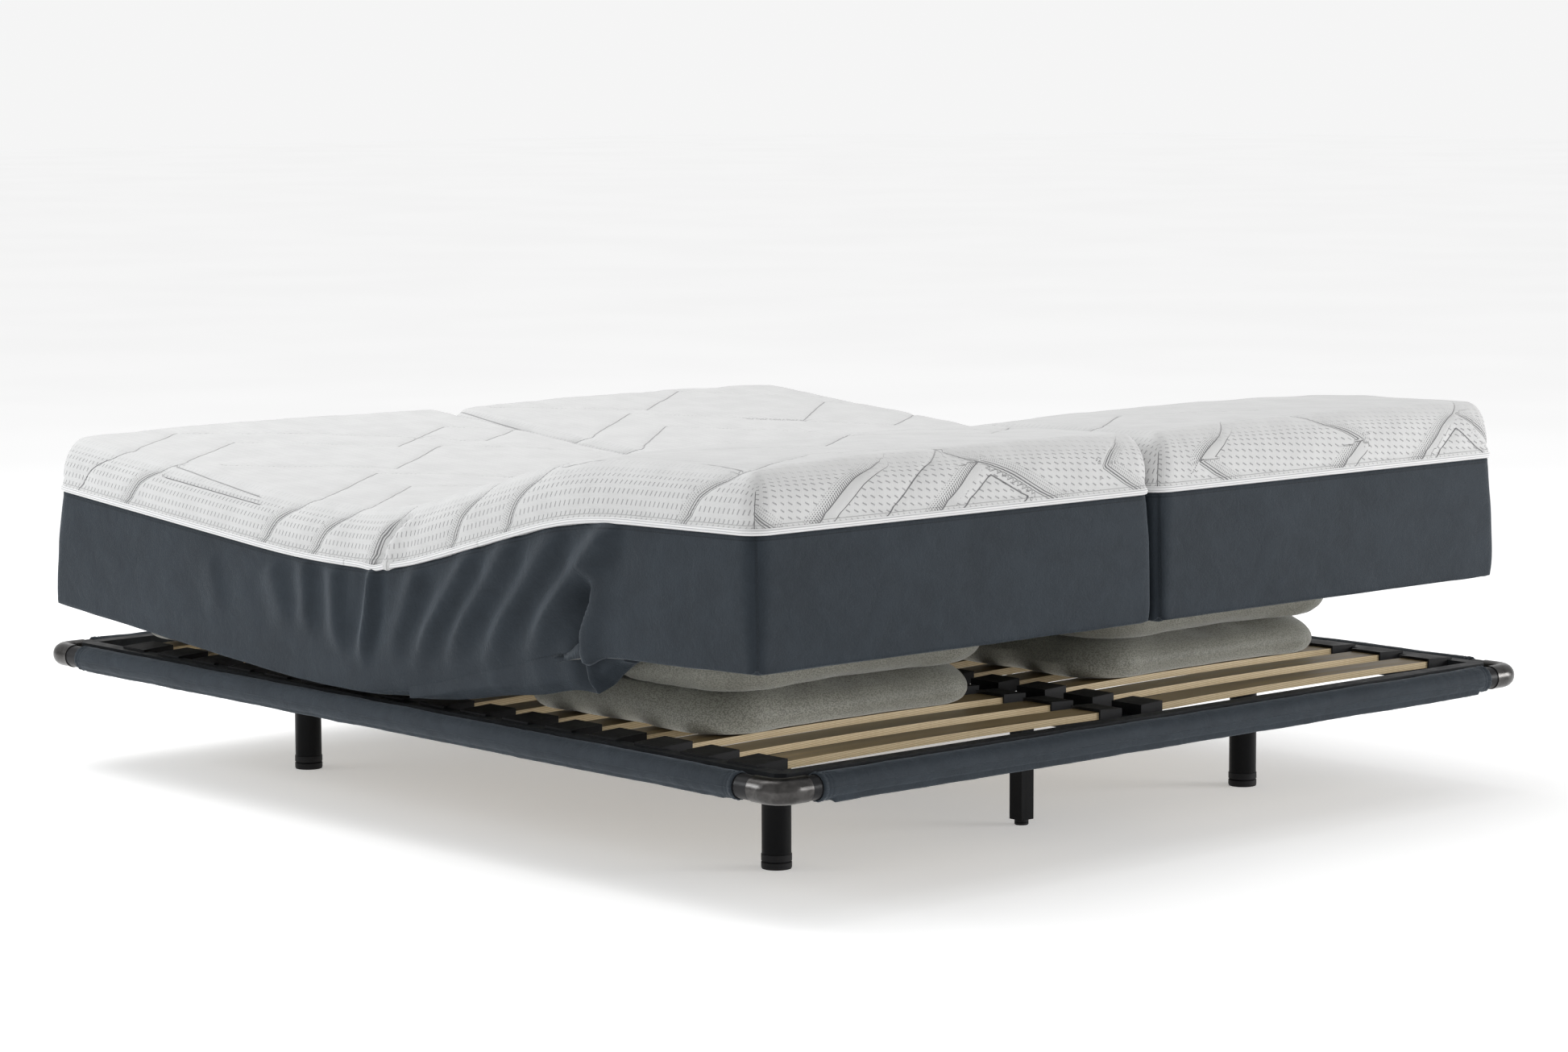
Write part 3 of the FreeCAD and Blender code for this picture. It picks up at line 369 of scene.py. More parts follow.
def quilt_paint():
    """White knit with slanted dashes, quilted lines and ribbed bands. The lines' kinds are under quilting."""
    p = Paint("quilt_knit", Roughness=0.82, Specular_IOR_Level=0.22, Sheen_Weight=0.12, Sheen_Roughness=0.5)
    cloth = p.cloth()
    across, along, _ = p.split(cloth)
    away, run, _ = p.split(p.cloth("quilt"))
    kind, drawn, _ = p.split(p.cloth("quilt_kind"))
    drawn = p.ramp(drawn, 0.5, 0.9)

    # how far down a wall: below 0 on the top, 0 at its edge
    side_depth = p.less(p.size(across), SIDE_EDGE)
    end_depth = p.most(p.times(along, -1.0), p.less(along, LENGTH))
    depth = p.most(side_depth, end_depth)
    wall = p.ramp(depth, -0.030, 0.035)

    is_triple = p.times(p.near(kind, 2.0, 0.5), wall, drawn)
    is_ribbed = p.times(p.near(kind, 3.0, 0.5), wall, drawn)
    line = p.times(p.fall(p.size(away), 0.0005, 0.0016), drawn)
    beside = p.most(p.near(away, TRIPLE_GAP, 0.0012), p.near(away, -TRIPLE_GAP, 0.0011))
    far_edge = p.times(p.near(away, -STRIP, 0.0012), is_ribbed)
    lines = p.most(line, p.times(beside, is_triple), far_edge)
    ribs = ribs_and_dots(p, away, run, is_ribbed, is_triple)
    # painted shade at the hem and on the gathers, with the seams up the corners
    sewn = hem_shade_and_seams(p, across, along, depth, side_depth, end_depth)

    # no dashes on the plain strips, under the ribs or below the hem, and only faint ones on the top
    in_band = p.times(p.ramp(away, -STRIP - 0.001, -STRIP), p.fall(away, 0.020, 0.026), is_ribbed)
    in_triple = p.times(p.ramp(away, -0.012, -0.010), p.fall(away, 0.016, 0.020), is_triple)
    dash = p.times(
        slanted_dashes(p, across, along),
        p.math("SUBTRACT", 1.0, p.most(in_band, in_triple), clamp=True),
        p.fall(depth, WALL - 0.017, WALL - 0.015),
        p.ramp(wall, 0.0, 1.0, 0.22, 1.0),
    )

    knit = p.noise(p.scaled(cloth, (620, 420, 1)), 1.0, 1, 0.5)
    broad = p.noise(cloth, 14.0, 3, 0.55)
    colour = p.mix(p.ramp(broad, 0.3, 0.7), (0.575, 0.575, 0.573), (0.612, 0.612, 0.609))
    colour = p.mix(p.times(dash, 0.62), colour, (0.20, 0.20, 0.21))
    colour = p.mix(p.times(ribs, 0.85), colour, (0.10, 0.10, 0.105))
    line_tone = p.times(lines, p.ramp(wall, 0.0, 1.0, 0.42, 0.85))
    # the lines, the corner seams and the painted shade at the hem and gathers darken the knit
    p.set("Base Color", p.mix(p.most(line_tone, sewn), colour, (0.12, 0.12, 0.125)))
    height = p.plus(
        p.times(p.wave(across, KNIT_ROW), 0.05),
        p.times(dash, -0.8),
        p.times(lines, -1.2),
        p.times(p.most(ribs, sewn), -0.9),
        p.times(knit, 0.10),
    )
    p.set("Normal", p.bump(height, 0.0013, 0.85))
    return p.material


def piping_paint():
    """White woven tape with fine corded lines along it."""
    p = Paint("piping_white", Roughness=0.75, Specular_IOR_Level=0.25, Sheen_Weight=0.1)
    across, along, _ = p.split(p.cloth())
    cord = p.wave(across, CORD_PITCH)
    thread = p.wave(p.plus(along, p.times(across, 0.6)), THREAD_PITCH)
    p.set("Base Color", p.mix(p.ramp(cord, -1.0, -0.3), (0.46, 0.46, 0.47), (0.82, 0.82, 0.82)))
    p.set("Normal", p.bump(p.plus(cord, p.times(thread, 0.25)), 0.0006, 0.7))
    return p.material


def mesh_paint(name, base):
    """Fine technical mesh: knots of light yarn and a weak net over a darker ground, with drifting tone."""
    p = Paint(name, Roughness=0.55, Specular_IOR_Level=0.35, Sheen_Weight=0.45, Sheen_Roughness=0.35)
    where = p.place()
    x, y, z = p.split(where)
    lean = p.times(z, 0.18)
    warp_weft = p.most(p.wave(p.plus(x, lean), MESH_PITCH), p.wave(p.less(y, lean), MESH_PITCH))
    knots = p.noise(p.scaled(where, (1.0, 1.0, 1.6)), 330.0, 2, 0.6)
    net = p.plus(p.times(warp_weft, 0.12), p.ramp(knots, 0.38, 0.62))
    fibre = p.noise(where, 1100.0, 2, 0.6)
    tone = p.noise(where, 5.0, 3, 0.55, 0.3)
    light = p.mix(p.ramp(tone, 0.35, 0.65), shade(base, 0.9), shade(base, 1.1))
    p.set("Base Color", p.mix(p.ramp(net, 0.0, 1.0), shade(base, 0.60), light))
    p.set("Normal", p.bump(p.plus(net, p.times(fibre, 0.3)), 0.0008, 0.35))
    return p.material


def plywood_paint():
    """Birch plywood slats: long grain on the faces, thin dark glue lines on the edges."""
    p = Paint("slat_wood", Specular_IOR_Level=0.45, Coat_Weight=0.12, Coat_Roughness=0.3)
    where = p.place()
    x, y, z = p.split(where)
    grain = p.noise(p.scaled(where, (3.0, 95, 60)), 1.0, 6, 0.62, 0.5)
    flame = p.noise(p.scaled(where, (1.1, 16, 6)), 1.0, 3, 0.5, 0.8)
    pores = p.noise(p.scaled(where, (40, 900, 300)), 1.0, 2, 0.5)
    tone = p.plus(p.times(grain, 0.62), p.times(flame, 0.38))
    face = p.mix(p.ramp(tone, 0.34, 0.66), (0.205, 0.142, 0.066), (0.385, 0.285, 0.148))
    face = p.mix(p.ramp(pores, 0.62, 0.75, 0.0, 0.35), face, (0.17, 0.11, 0.055))
    # the glue lines follow the slat's camber
    from_middle = p.math("DIVIDE", p.less(p.size(x), SLAT_MIDDLE), SLAT_HALF)
    camber = p.times(p.less(1.0, p.times(from_middle, from_middle)), SLAT_ARCH)
    glue = p.wave(p.less(z, camber), PLY)
    edge = p.mix(p.ramp(glue, -0.4, 0.7), (0.34, 0.245, 0.125), (0.66, 0.54, 0.34))
    worn = p.noise(p.scaled(where, (120, 1, 8)), 1.0, 3)
    edge = p.mix(p.ramp(worn, 0.4, 0.7, 0.0, 0.4), edge, (0.42, 0.31, 0.17))
    facing = p.split(p.node("NewGeometry").outputs["Normal"])
    on_edge = p.fall(p.size(facing[2]), 0.35, 0.6)
    p.set("Base Color", p.mix(on_edge, face, edge))
    p.set("Roughness", p.ramp(grain, 0.3, 0.7, 0.36, 0.52))
    p.set("Normal", p.bump(p.plus(grain, p.times(pores, 0.5)), 0.0004, 0.5))
    return p.material


def plastic_paint(name, base, rough=0.48):
    """Moulded plastic with a fine spark texture and drifting gloss."""
    p = Paint(name, Specular_IOR_Level=0.16)
    where = p.place()
    spark = p.noise(where, 900.0, 2, 0.6)
    broad = p.noise(where, 12.0, 3, 0.6)
    p.set("Base Color", p.mix(p.ramp(broad, 0.35, 0.65), shade(base, 0.8), shade(base, 1.35)))
    p.set("Roughness", p.ramp(broad, 0.3, 0.7, rough - 0.06, rough + 0.1))
    p.set("Normal", p.bump(spark, 0.00035, 0.5))
    return p.material


def painted_paint(name, base, rough, specular=0.16):
    """Powder-coated or painted steel with orange peel and faint handling marks."""
    p = Paint(name, Specular_IOR_Level=specular)
    where = p.place()
    skin = p.noise(where, 420.0, 2, 0.5)
    marks = p.noise(p.scaled(where, (30, 30, 7)), 1.0, 5, 0.7, 0.6)
    p.set("Base Color", p.mix(p.ramp(marks, 0.4, 0.7), base, shade(base, 1.5)))
    p.set("Roughness", p.ramp(marks, 0.3, 0.7, rough - 0.05, rough + 0.12))
    p.set("Normal", p.bump(skin, 0.0004, 0.4))
    return p.material


def metal_paint(name, base, rough, relief=0.0003):
    """Polished or plated metal with drifting roughness and small surface flecks."""
    p = Paint(name, Metallic=1.0)
    where = p.place()
    cloud = p.noise(where, 60.0, 4, 0.6, 0.3)
    fleck = p.noise(where, 700.0, 3, 0.7)
    p.set("Base Color", p.mix(p.ramp(cloud, 0.35, 0.65), shade(base, 0.75), shade(base, 1.2)))
    p.set("Roughness", p.ramp(cloud, 0.3, 0.7, rough * 0.7, rough * 1.6))
    p.set("Normal", p.bump(p.plus(fleck, cloud), relief, 0.4))
    return p.material


def floor_paint():
    p = Paint(
        "floor", Roughness=0.95, Specular_IOR_Level=0.0, Emission_Color=(1, 1, 1), Emission_Strength=0.34
    )
    drift = p.noise(p.place(), 0.8, 2, 0.5)
    p.set("Base Color", p.mix(p.ramp(drift, 0.3, 0.7), (0.90, 0.90, 0.90), (0.93, 0.93, 0.93)))
    return p.material


SLATE = (0.0235, 0.0305, 0.0385)

PAINTS = {
    "velvet": velvet_paint("velvet", SLATE, stitch=BORDER - 0.012),
    "sleeve_velvet": velvet_paint("sleeve_velvet", tuple(c * 1.05 for c in SLATE), streak=0.30),
    "quilt_knit": quilt_paint(),
    "piping_white": piping_paint(),
    "cushion_mesh": mesh_paint("cushion_mesh", (0.33, 0.33, 0.285)),
    # the underside takes the cushions' mesh made darker, as painted shade under the mattress
    "shaded_underside_mesh": mesh_paint("shaded_underside_mesh", (0.24, 0.238, 0.215)),
    "slat_wood": plywood_paint(),
    "black_plastic": plastic_paint("black_plastic", (0.011, 0.011, 0.012)),
    "pump_plastic": plastic_paint("pump_plastic", (0.035, 0.036, 0.038), 0.55),
    "frame_steel": painted_paint("frame_steel", (0.014, 0.0155, 0.0175), 0.42),
    "rail_steel": painted_paint("rail_steel", (0.010, 0.010, 0.011), 0.32),
    "elbow_metal": metal_paint("elbow_metal", (0.075, 0.072, 0.070), 0.15, relief=0.0005),
    "leg_black": painted_paint("leg_black", (0.0034, 0.0036, 0.0042), 0.34, specular=0.10),
    "zinc_steel": metal_paint("zinc_steel", (0.55, 0.56, 0.55), 0.32),
    "hose_rubber": plastic_paint("hose_rubber", (0.016, 0.016, 0.018), 0.6),
}

NODE_SLOTS = {
    "rail_sleeve": "sleeve_velvet",
    "rail": "rail_steel",
    "edge_beam": "frame_steel",
    "cross_beam": "frame_steel",
    "centre_beam": "frame_steel",
    "leg_inserts": "black_plastic",
    "leg_bolts": "zinc_steel",
    "leg": "leg_black",
    "levelling_foot": "black_plastic",
    "corner_elbow": "elbow_metal",
    "corner_brackets": "black_plastic",
    "frame_studs": "zinc_steel",
    "slats": "slat_wood",
    "slat_holders": "black_plastic",
    "air_hoses": "hose_rubber",
    "port_elbows": "black_plastic",
    "pump": "pump_plastic",
    "foot_cushion": "cushion_mesh",
    "head_cushion": "cushion_mesh",
    "mattress": "velvet",
}


def paint_nodes():
    for name, node in nodes.items():
        fitting = [key for key in NODE_SLOTS if name.startswith(key)]
        slot = NODE_SLOTS[max(fitting, key=len)]
        node.data.materials.clear()
        node.data.materials.append(PAINTS[slot])


def mesh_object(name, points, faces, material, smooth=True):
    data = bpy.data.meshes.new(name)
    data.from_pydata([tuple(p) for p in points], [], faces)
    data.materials.append(material)
    if smooth:
        data.polygons.foreach_set("use_smooth", [True] * len(data.polygons))
    data.update()
    made = bpy.data.objects.new(name, data)
    scene.collection.objects.link(made)
    return made


def corner_vertices(data):
    """The vertex of each face corner."""
    corners = np.empty(len(data.loops), np.int64)
    data.loops.foreach_get("vertex_index", corners)
    return corners


def face_sizes(data):
    """The number of corners of each face."""
    sizes = np.empty(len(data.polygons), np.int64)
    data.polygons.foreach_get("loop_total", sizes)
    return sizes


def turn_outward(made, is_hard=None, weld=0.0):
    """Turns the faces outward. Edges for which is_hard(edge) holds are shaded sharp."""
    edit = bmesh.new()
    edit.from_mesh(made.data)
    if weld:
        bmesh.ops.remove_doubles(edit, verts=edit.verts, dist=weld)
    bmesh.ops.recalc_face_normals(edit, faces=edit.faces)
    edit.faces.index_update()
    for edge in edit.edges:
        if is_hard and is_hard(edge):
            edge.smooth = False
    edit.to_mesh(made.data)
    edit.free()


def tube_faces(rings, count, base=0, closed=True):
    """Faces of a tube of rings with count vertices each, with a face on both ends if it is closed."""
    faces = []
    for m in range(base, base + (rings - 1) * count, count):
        for n in range(count):
            a, b = m + n, m + (n + 1) % count
            faces.append([a, b, b + count, a + count])
    if closed:
        last = base + (rings - 1) * count
        faces.append([base + n for n in range(count)])
        faces.append([last + n for n in reversed(range(count))])
    return faces


def add_uv(data, name, values):
    """values holds one pair for each face corner."""
    layer = data.uv_layers.new(name=name, do_init=False)
    layer.data.foreach_set("uv", np.asarray(values, np.float32).ravel())


# ---- mattress shape --------------------------------------------------------------------------------


def smooth_step(value):
    value = np.clip(value, 0.0, 1.0)
    return value * value * (3 - 2 * value)


def bell(value, width):
    return np.exp(-((value / width) ** 2))


def make_path():
    """The mattress's middle line from the foot end: places (y, z) and slopes at closely spaced lengths."""
    run = np.linspace(0, LENGTH, 4001)
    turns = [
        (ANKLE_S, 0.17, -THIGH_ANGLE),
        (KNEE_S + 0.01, 0.15, THIGH_ANGLE),
        (HIP_S, 0.16, HEAD_ANGLE),
    ]
    slope = np.zeros_like(run)
    for centre, reach, change in turns:
        slope += change * smooth_step((run - centre + reach) / (2 * reach))
    slope += math.radians(-1.2) * smooth_step((ANKLE_S - run) / 0.2)
    step = run[1] - run[0]
    middle = (slope[1:] + slope[:-1]) / 2
    y = np.concatenate([[0], np.cumsum(np.cos(middle) * step)])
    z = np.concatenate([[0], np.cumsum(np.sin(middle) * step)])
    seat = np.searchsorted(run, CUT_SEAT)
    y += (knee.y + hip.y) / 2 - y[seat]
    z += knee.z - z[seat]
    return run, y, z, slope


PATH = make_path()


def bend(points):
    """Takes (across, along, height) of the flat mattress to the bent one."""
    run, y, z, slope = PATH
    along = points[:, 1]
    inside = np.clip(along, 0, LENGTH)
    angle = np.interp(inside, run, slope)
    beyond = along - inside
    up = points[:, 2] - HALF
    return np.column_stack([
        points[:, 0],
        np.interp(inside, run, y) - up * np.sin(angle) + beyond * np.cos(angle),
        np.interp(inside, run, z) + up * np.cos(angle) + beyond * np.sin(angle),
    ])


def rounded(points, edge, bottom, top, bottom_edge, top_edge):
    """Rounds the edges of a block. edge is the plan radius at each point, the others are heights."""
    lower = np.column_stack([edge - SIDE_EDGE, edge, np.full(len(points), bottom + bottom_edge)])
    upper = np.column_stack([SIDE_EDGE - edge, LENGTH - edge, np.full(len(points), top - top_edge)])
    inner = np.clip(points, lower, upper)
    reach = np.column_stack([edge, edge, np.where(points[:, 2] > inner[:, 2], top_edge, bottom_edge)])
    away = (points - inner) / reach
    size = np.linalg.norm(away, axis=1)
    size = np.where(size > 1, size, 1)
    return inner + reach * away / size[:, None]


class Block:
    """The surface of a block as a grid, with its places by grid index and the faces by section."""

    TOP, SIDE, FOOT, HEAD, BOTTOM, HIDDEN = range(6)

    def __init__(self, xs, ss, hs, open_top):
        self.xs, self.ss, self.hs = xs, ss, hs
        self.open_top = open_top  # True for the velvet border, whose top is hidden; else the bottom is
        nx, ns, nh = len(xs), len(ss), len(hs)
        self.shape = (nx, ns, nh)
        mask = np.zeros(self.shape, bool)
        mask[0], mask[-1] = True, True
        mask[:, 0], mask[:, -1] = True, True
        mask[:, :, 0 if open_top else -1] = True
        self.ids = np.full(self.shape, -1)
        self.ids[mask] = np.arange(mask.sum())
        i, j, k = np.nonzero(mask)
        self.grid = np.column_stack([i, j, k])
        self.flat = np.column_stack([xs[i], ss[j], hs[k]])

    def quads(self, plane, sheet):
        """The quads (sheet, vertex ids) of a grid of ids."""
        a, b = plane[:-1, :-1], plane[1:, :-1]
        c, d = plane[1:, 1:], plane[:-1, 1:]
        faces = np.stack([a, b, c, d], -1).reshape(-1, 4)
        return [(sheet, f) for f in faces.tolist()]

    def section(self, low, high):
        """Faces (sheet, vertex ids) between grid rows low and high, closed at both."""
        ids = self.ids
        nx, ns, nh = self.shape
        rows = slice(low, high + 1)
        main, hidden = (0, -1) if self.open_top else (-1, 0)
        out = self.quads(ids[:, rows, main], self.BOTTOM if self.open_top else self.TOP)
        out += self.quads(ids[0, rows, :], self.SIDE)
        out += self.quads(ids[-1, rows, :], self.SIDE)
        if low == 0:
            out += self.quads(ids[:, 0, :], self.FOOT)
        if high == ns - 1:
            out += self.quads(ids[:, -1, :], self.HEAD)
        for j in range(low, high):
            near = [ids[0, j, hidden], ids[-1, j, hidden]]
            far = [ids[-1, j + 1, hidden], ids[0, j + 1, hidden]]
            if j == 0:
                near = ids[:, 0, hidden].tolist()
            if j + 1 == ns - 1:
                far = ids[::-1, ns - 1, hidden].tolist()
            out.append((self.HIDDEN, [int(v) for v in near + far]))
        for j, cut in ((low, low > 0), (high, high < ns - 1)):
            if cut:
                across = ids[:, j, main].tolist()
                right = ids[-1, j, :].tolist()
                left = ids[0, j, :].tolist()
                if main == -1:
                    ring = left + across[1:] + right[::-1][1:]
                else:
                    ring = left[::-1] + across[1:] + right[1:]
                out.append((self.HIDDEN, ring))
        return out


def bend_middle(centres):
    """A point inside the block for each face centre, to tell outward from inward."""
    run, y, z, _ = PATH
    near = np.clip(np.interp(centres[:, 1], y, run), 0.15, LENGTH - 0.15)
    across = np.clip(centres[:, 0], -SIDE_EDGE + 0.15, SIDE_EDGE - 0.15)
    return np.column_stack([across, np.interp(near, run, y), np.interp(near, run, z)])


def vertex_normals(points, faces):
    """Unit normals of the visible skin, pointing away from the middle of the block."""
    quads = np.array([f for sheet, f in faces if sheet != Block.HIDDEN])
    a, b, c, d = (points[quads[:, n]] for n in range(4))
    normal = np.cross(c - a, d - b)
    centre = points[quads].mean(1)
    flip = np.einsum("ij,ij->i", normal, centre - bend_middle(centre)) < 0
    normal[flip] *= -1
    total = np.zeros_like(points)
    for n in range(4):
        np.add.at(total, quads[:, n], normal)
    size = np.linalg.norm(total, axis=1)
    return total / np.where(size > 0, size, 1)[:, None]


# ---- quilting --------------------------------------------------------------------------------------
# The top cover is one cloth that runs over the top and down the walls. Its coordinates are metres across
# from the middle and metres along from the foot end's top edge, so walls lie beyond the top's own edges.
# A line is (kind, points): kind 1 a single groove, 2 a triple line, 3 a ribbed edge with a plain strip.

RIGHT_SHIFT = 0.37  # how far the right unit's lines are moved along the cloth


def foot_face_lines(right):
    """Lines on the foot wall, which reach a little way onto the top."""
    if right:
        return [
            (3, [(-0.347, -0.053), (-0.298, -0.015), (-0.26, 0.03)]),
            (2, [(-0.347, -0.053), (-0.255, -0.102)]),
            (2, [(-0.10, 0.05), (-0.002, -0.005), (0.077, -0.047)]),
            (3, [(0.006, -0.102), (0.077, -0.047)]),
            (3, [(0.222, -0.102), (0.291, -0.049), (0.372, 0.03)]),
            (2, [(0.36, -0.006), (0.410, -0.046), (0.455, -0.085)]),
            (1, [(0.268, -0.098), (0.343, -0.040), (0.425, -0.098)]),
        ]
    return [
        (2, [(-0.453, -0.068), (-0.402, -0.100)]),
        (3, [(-0.332, -0.102), (-0.262, -0.045), (-0.228, -0.020), (-0.173, 0.012)]),
        (1, [(-0.03, 0.03), (-0.066, -0.006), (-0.126, -0.055), (-0.186, -0.102)]),
        (3, [(-0.066, -0.102), (0.0, -0.052), (0.048, -0.012)]),
        (2, [(-0.02, 0.02), (0.042, -0.010), (0.118, -0.045), (0.232, -0.102)]),
        (1, [(-0.010, -0.098), (0.067, -0.042), (0.150, -0.082), (0.124, -0.100)]),
        (2, [(0.375, 0.01), (0.334, -0.046), (0.425, -0.098)]),
    ]


def wall_band(place, lean=0.10):
    """A band up the near side wall that leans to the foot end and ends on the top's edge."""
    return [
        (-SIDE_EDGE - WALL, place),
        (-SIDE_EDGE - WALL * 0.45, place - lean * 0.42),
        (-SIDE_EDGE - 0.008, place - lean * 0.86),
        (-SIDE_EDGE + 0.035, place - lean * 1.3),
    ]


def quilt_lines(right):
    """One unit's lines. The right unit's are the left's, moved along the cloth but not on the end walls."""
    lines = foot_face_lines(right)
    bands = [
        (0.17, 2, [(-0.22, 0.13), (-0.02, 0.03)]),
        (0.613, 2, [(-0.18, 0.62), (0.06, 0.42), (0.30, 0.60), (0.50, 0.50)]),
        (0.766, 2, [(-0.24, 0.78), (-0.05, 0.66)]),
        (1.011, 2, [(-0.22, 1.02), (0.10, 0.80), (0.32, 0.98), (0.53, 0.86)]),
        (1.189, 2, [(-0.20, 1.24), (0.02, 1.06)]),
        (1.345, 2, [(-0.16, 1.40), (0.12, 1.18), (0.36, 1.38), (0.54, 1.26)]),
        (1.785, 2, [(-0.20, 1.80), (0.05, 1.62), (0.30, 1.80), (0.54, 1.66)]),
        (1.946, 1, [(-0.24, 1.94), (-0.02, 1.82)]),
    ]
    for place, kind, onward in bands:  # place is where a band starts at the piping
        lines.append((kind, wall_band(place) + onward))
    # zigzags on the top between the bands
    for s in (0.30, 0.90, 1.50):
        lines.append((1, [(-0.36, s + 0.10), (-0.10, s - 0.08), (0.14, s + 0.10), (0.40, s - 0.06)]))
    for s in (0.22, 1.08, 1.64):
        lines.append((3, [(0.02, s + 0.16), (0.26, s - 0.02), (0.54, s + 0.16)]))
    lines.append((1, [(-0.43, 1.66), (-0.447, 1.38)]))
    lines.append((1, [(-0.468, 1.67), (-0.472, 1.37)]))
    lines.append((1, [(-0.43, 0.463), (-0.41, 0.36), (-0.405, 0.20), (-0.425, 0.06)]))
    lines.append((2, [(SIDE_EDGE - 0.02, 0.22), (SIDE_EDGE + WALL, 0.30)]))
    lines.append((2, [(SIDE_EDGE - 0.02, 1.52), (SIDE_EDGE + WALL, 1.62)]))
    # head wall
    for x in (-0.30, -0.02, 0.25):
        lines.append((2, [(x, LENGTH - 0.02), (x + 0.08, LENGTH + 0.05), (x + 0.02, LENGTH + WALL)]))
    if not right:
        return lines
    moved = []
    for kind, points in lines:
        first = min(s for _, s in points)
        if -0.02 <= first < LENGTH - 0.05:
            lift = RIGHT_SHIFT - (LENGTH if first + RIGHT_SHIFT > LENGTH else 0)
            points = [(x, s + lift) for x, s in points]
        moved.append((kind, points))
    return moved


def nearest_on(path, points):
    """For each point: its distance to a path, the signed one to the line of the nearest stretch, and its
    length along the path. Then the path's whole length."""
    gap = np.full(len(points), np.inf)
    side, along = np.zeros(len(points)), np.zeros(len(points))
    passed = 0.0
    for first, last in zip(path[:-1], path[1:]):
        length = math.dist(first, last)
        step = np.subtract(last, first) / length
        rel = points - np.array(first)
        run = rel @ step
        away = np.linalg.norm(rel - np.clip(run, 0, length)[:, None] * step, axis=1)
        closer = away < gap
        gap[closer] = away[closer]
        side[closer] = (step[0] * rel[:, 1] - step[1] * rel[:, 0])[closer]
        along[closer] = (passed + run)[closer]
        passed += length
    return gap, side, along, passed


def quilt_field(cloth, lines):
    """For each cloth point: signed distance to the nearest line, the length along it, and the line's kind."""
    best = np.full(len(cloth), 0.2)
    along = np.zeros(len(cloth))
    kinds = np.ones(len(cloth))
    for kind, path in lines:
        gap, side, run, _ = nearest_on(path, cloth)
        closer = gap < np.abs(best)
        best[closer] = np.where(side < 0, -gap, gap)[closer]
        along[closer] = run[closer]
        kinds[closer] = kind
    return best, along, kinds


def spaced(*stops):
    """Grid places through the stops, given as value, spacing, value, spacing, ... value."""
    out = [stops[0]]
    for low, gap, high in zip(stops[0:-2:2], stops[1:-1:2], stops[2::2]):
        count = max(1, round((high - low) / gap))
        out += [low + (high - low) * n / count for n in range(1, count + 1)]
    return np.array(out)


def finish_mesh(name, points, faces, slots):
    """Builds a piece from the vertices its faces use. Returns it with each corner's vertex and each face's
    sheet."""
    used = np.unique(np.concatenate([np.asarray(f) for _, f in faces]))
    new_id = np.full(len(points), -1)
    new_id[used] = np.arange(len(used))
    made = mesh_object(name, points[used], [new_id[f].tolist() for _, f in faces], PAINTS[slots[0]])
    for extra in slots[1:]:
        made.data.materials.append(PAINTS[extra])
    sheets = np.array([sheet for sheet, _ in faces])
    turn_outward(made, lambda edge: sum(sheets[f.index] == Block.HIDDEN for f in edge.link_faces) == 1)
    return made, used[corner_vertices(made.data)], sheets


def lump(points, scale, seed):
    """Smooth repeatable unevenness from a few sines, about -1 to 1."""
    draw = np.random.default_rng(seed)
    total = np.zeros(len(points))
    for _ in range(7):
        way = draw.normal(size=points.shape[1])
        way /= np.linalg.norm(way)
        total += np.sin(points @ way * 2 * math.pi / (scale * draw.uniform(0.6, 1.7)) + draw.uniform(0, 6.28))
    return total / 4


def ridge(points, path, width):
    """A fold along a path of (along, height) places: 1 on its crest, steeper on the foot side, with a
    shallow trough on both sides, fading at both ends."""
    gap, side, along, total = nearest_on(path, points)
    share = along / total
    fade = smooth_step((share + 0.12) / 0.24) * smooth_step((1.12 - share) / 0.45)
    flank = np.where(side < 0, 0.68, 1.22) * width
    return (bell(gap, flank) - 0.36 * bell(np.abs(side) - 2.0 * flank, 1.2 * width)) * fade


# folds on the border's side walls: (along, height) places on the crest from the piping down, the crest's
# width and how far it stands out
FOLDS = [
    ([(1.50, 0.18), (1.46, 0.09)], 0.026, 0.0040),
    ([(1.31, 0.20), (1.25, 0.10)], 0.026, 0.0065),
    ([(1.207, 0.222), (1.19, 0.10)], 0.022, 0.0080),
    ([(1.115, 0.222), (1.10, 0.075)], 0.023, 0.0100),
    ([(0.997, 0.226), (1.012, 0.15), (1.038, 0.06)], 0.015, 0.0135),
    ([(0.86, 0.215), (0.965, 0.07)], 0.024, 0.0100),
    ([(0.70, 0.218), (0.80, 0.145), (0.905, 0.058)], 0.022, 0.0165),
    ([(0.5935, 0.212), (0.70, 0.14), (0.813, 0.055)], 0.025, 0.0165),
    ([(0.476, 0.205), (0.60, 0.12), (0.717, 0.035)], 0.026, 0.0175),
    ([(0.335, 0.216), (0.442, 0.130), (0.53, 0.075), (0.60, 0.03)], 0.027, 0.0210),
]
# the tuck's line, as heights and its place along the bed at each
TUCK_HEIGHT, TUCK_RUN = [-0.01, 0.055, 0.098, 0.135], [0.448, 0.436, 0.408, 0.402]
TUCK_OUT, TUCK_IN = 0.015, 0.024


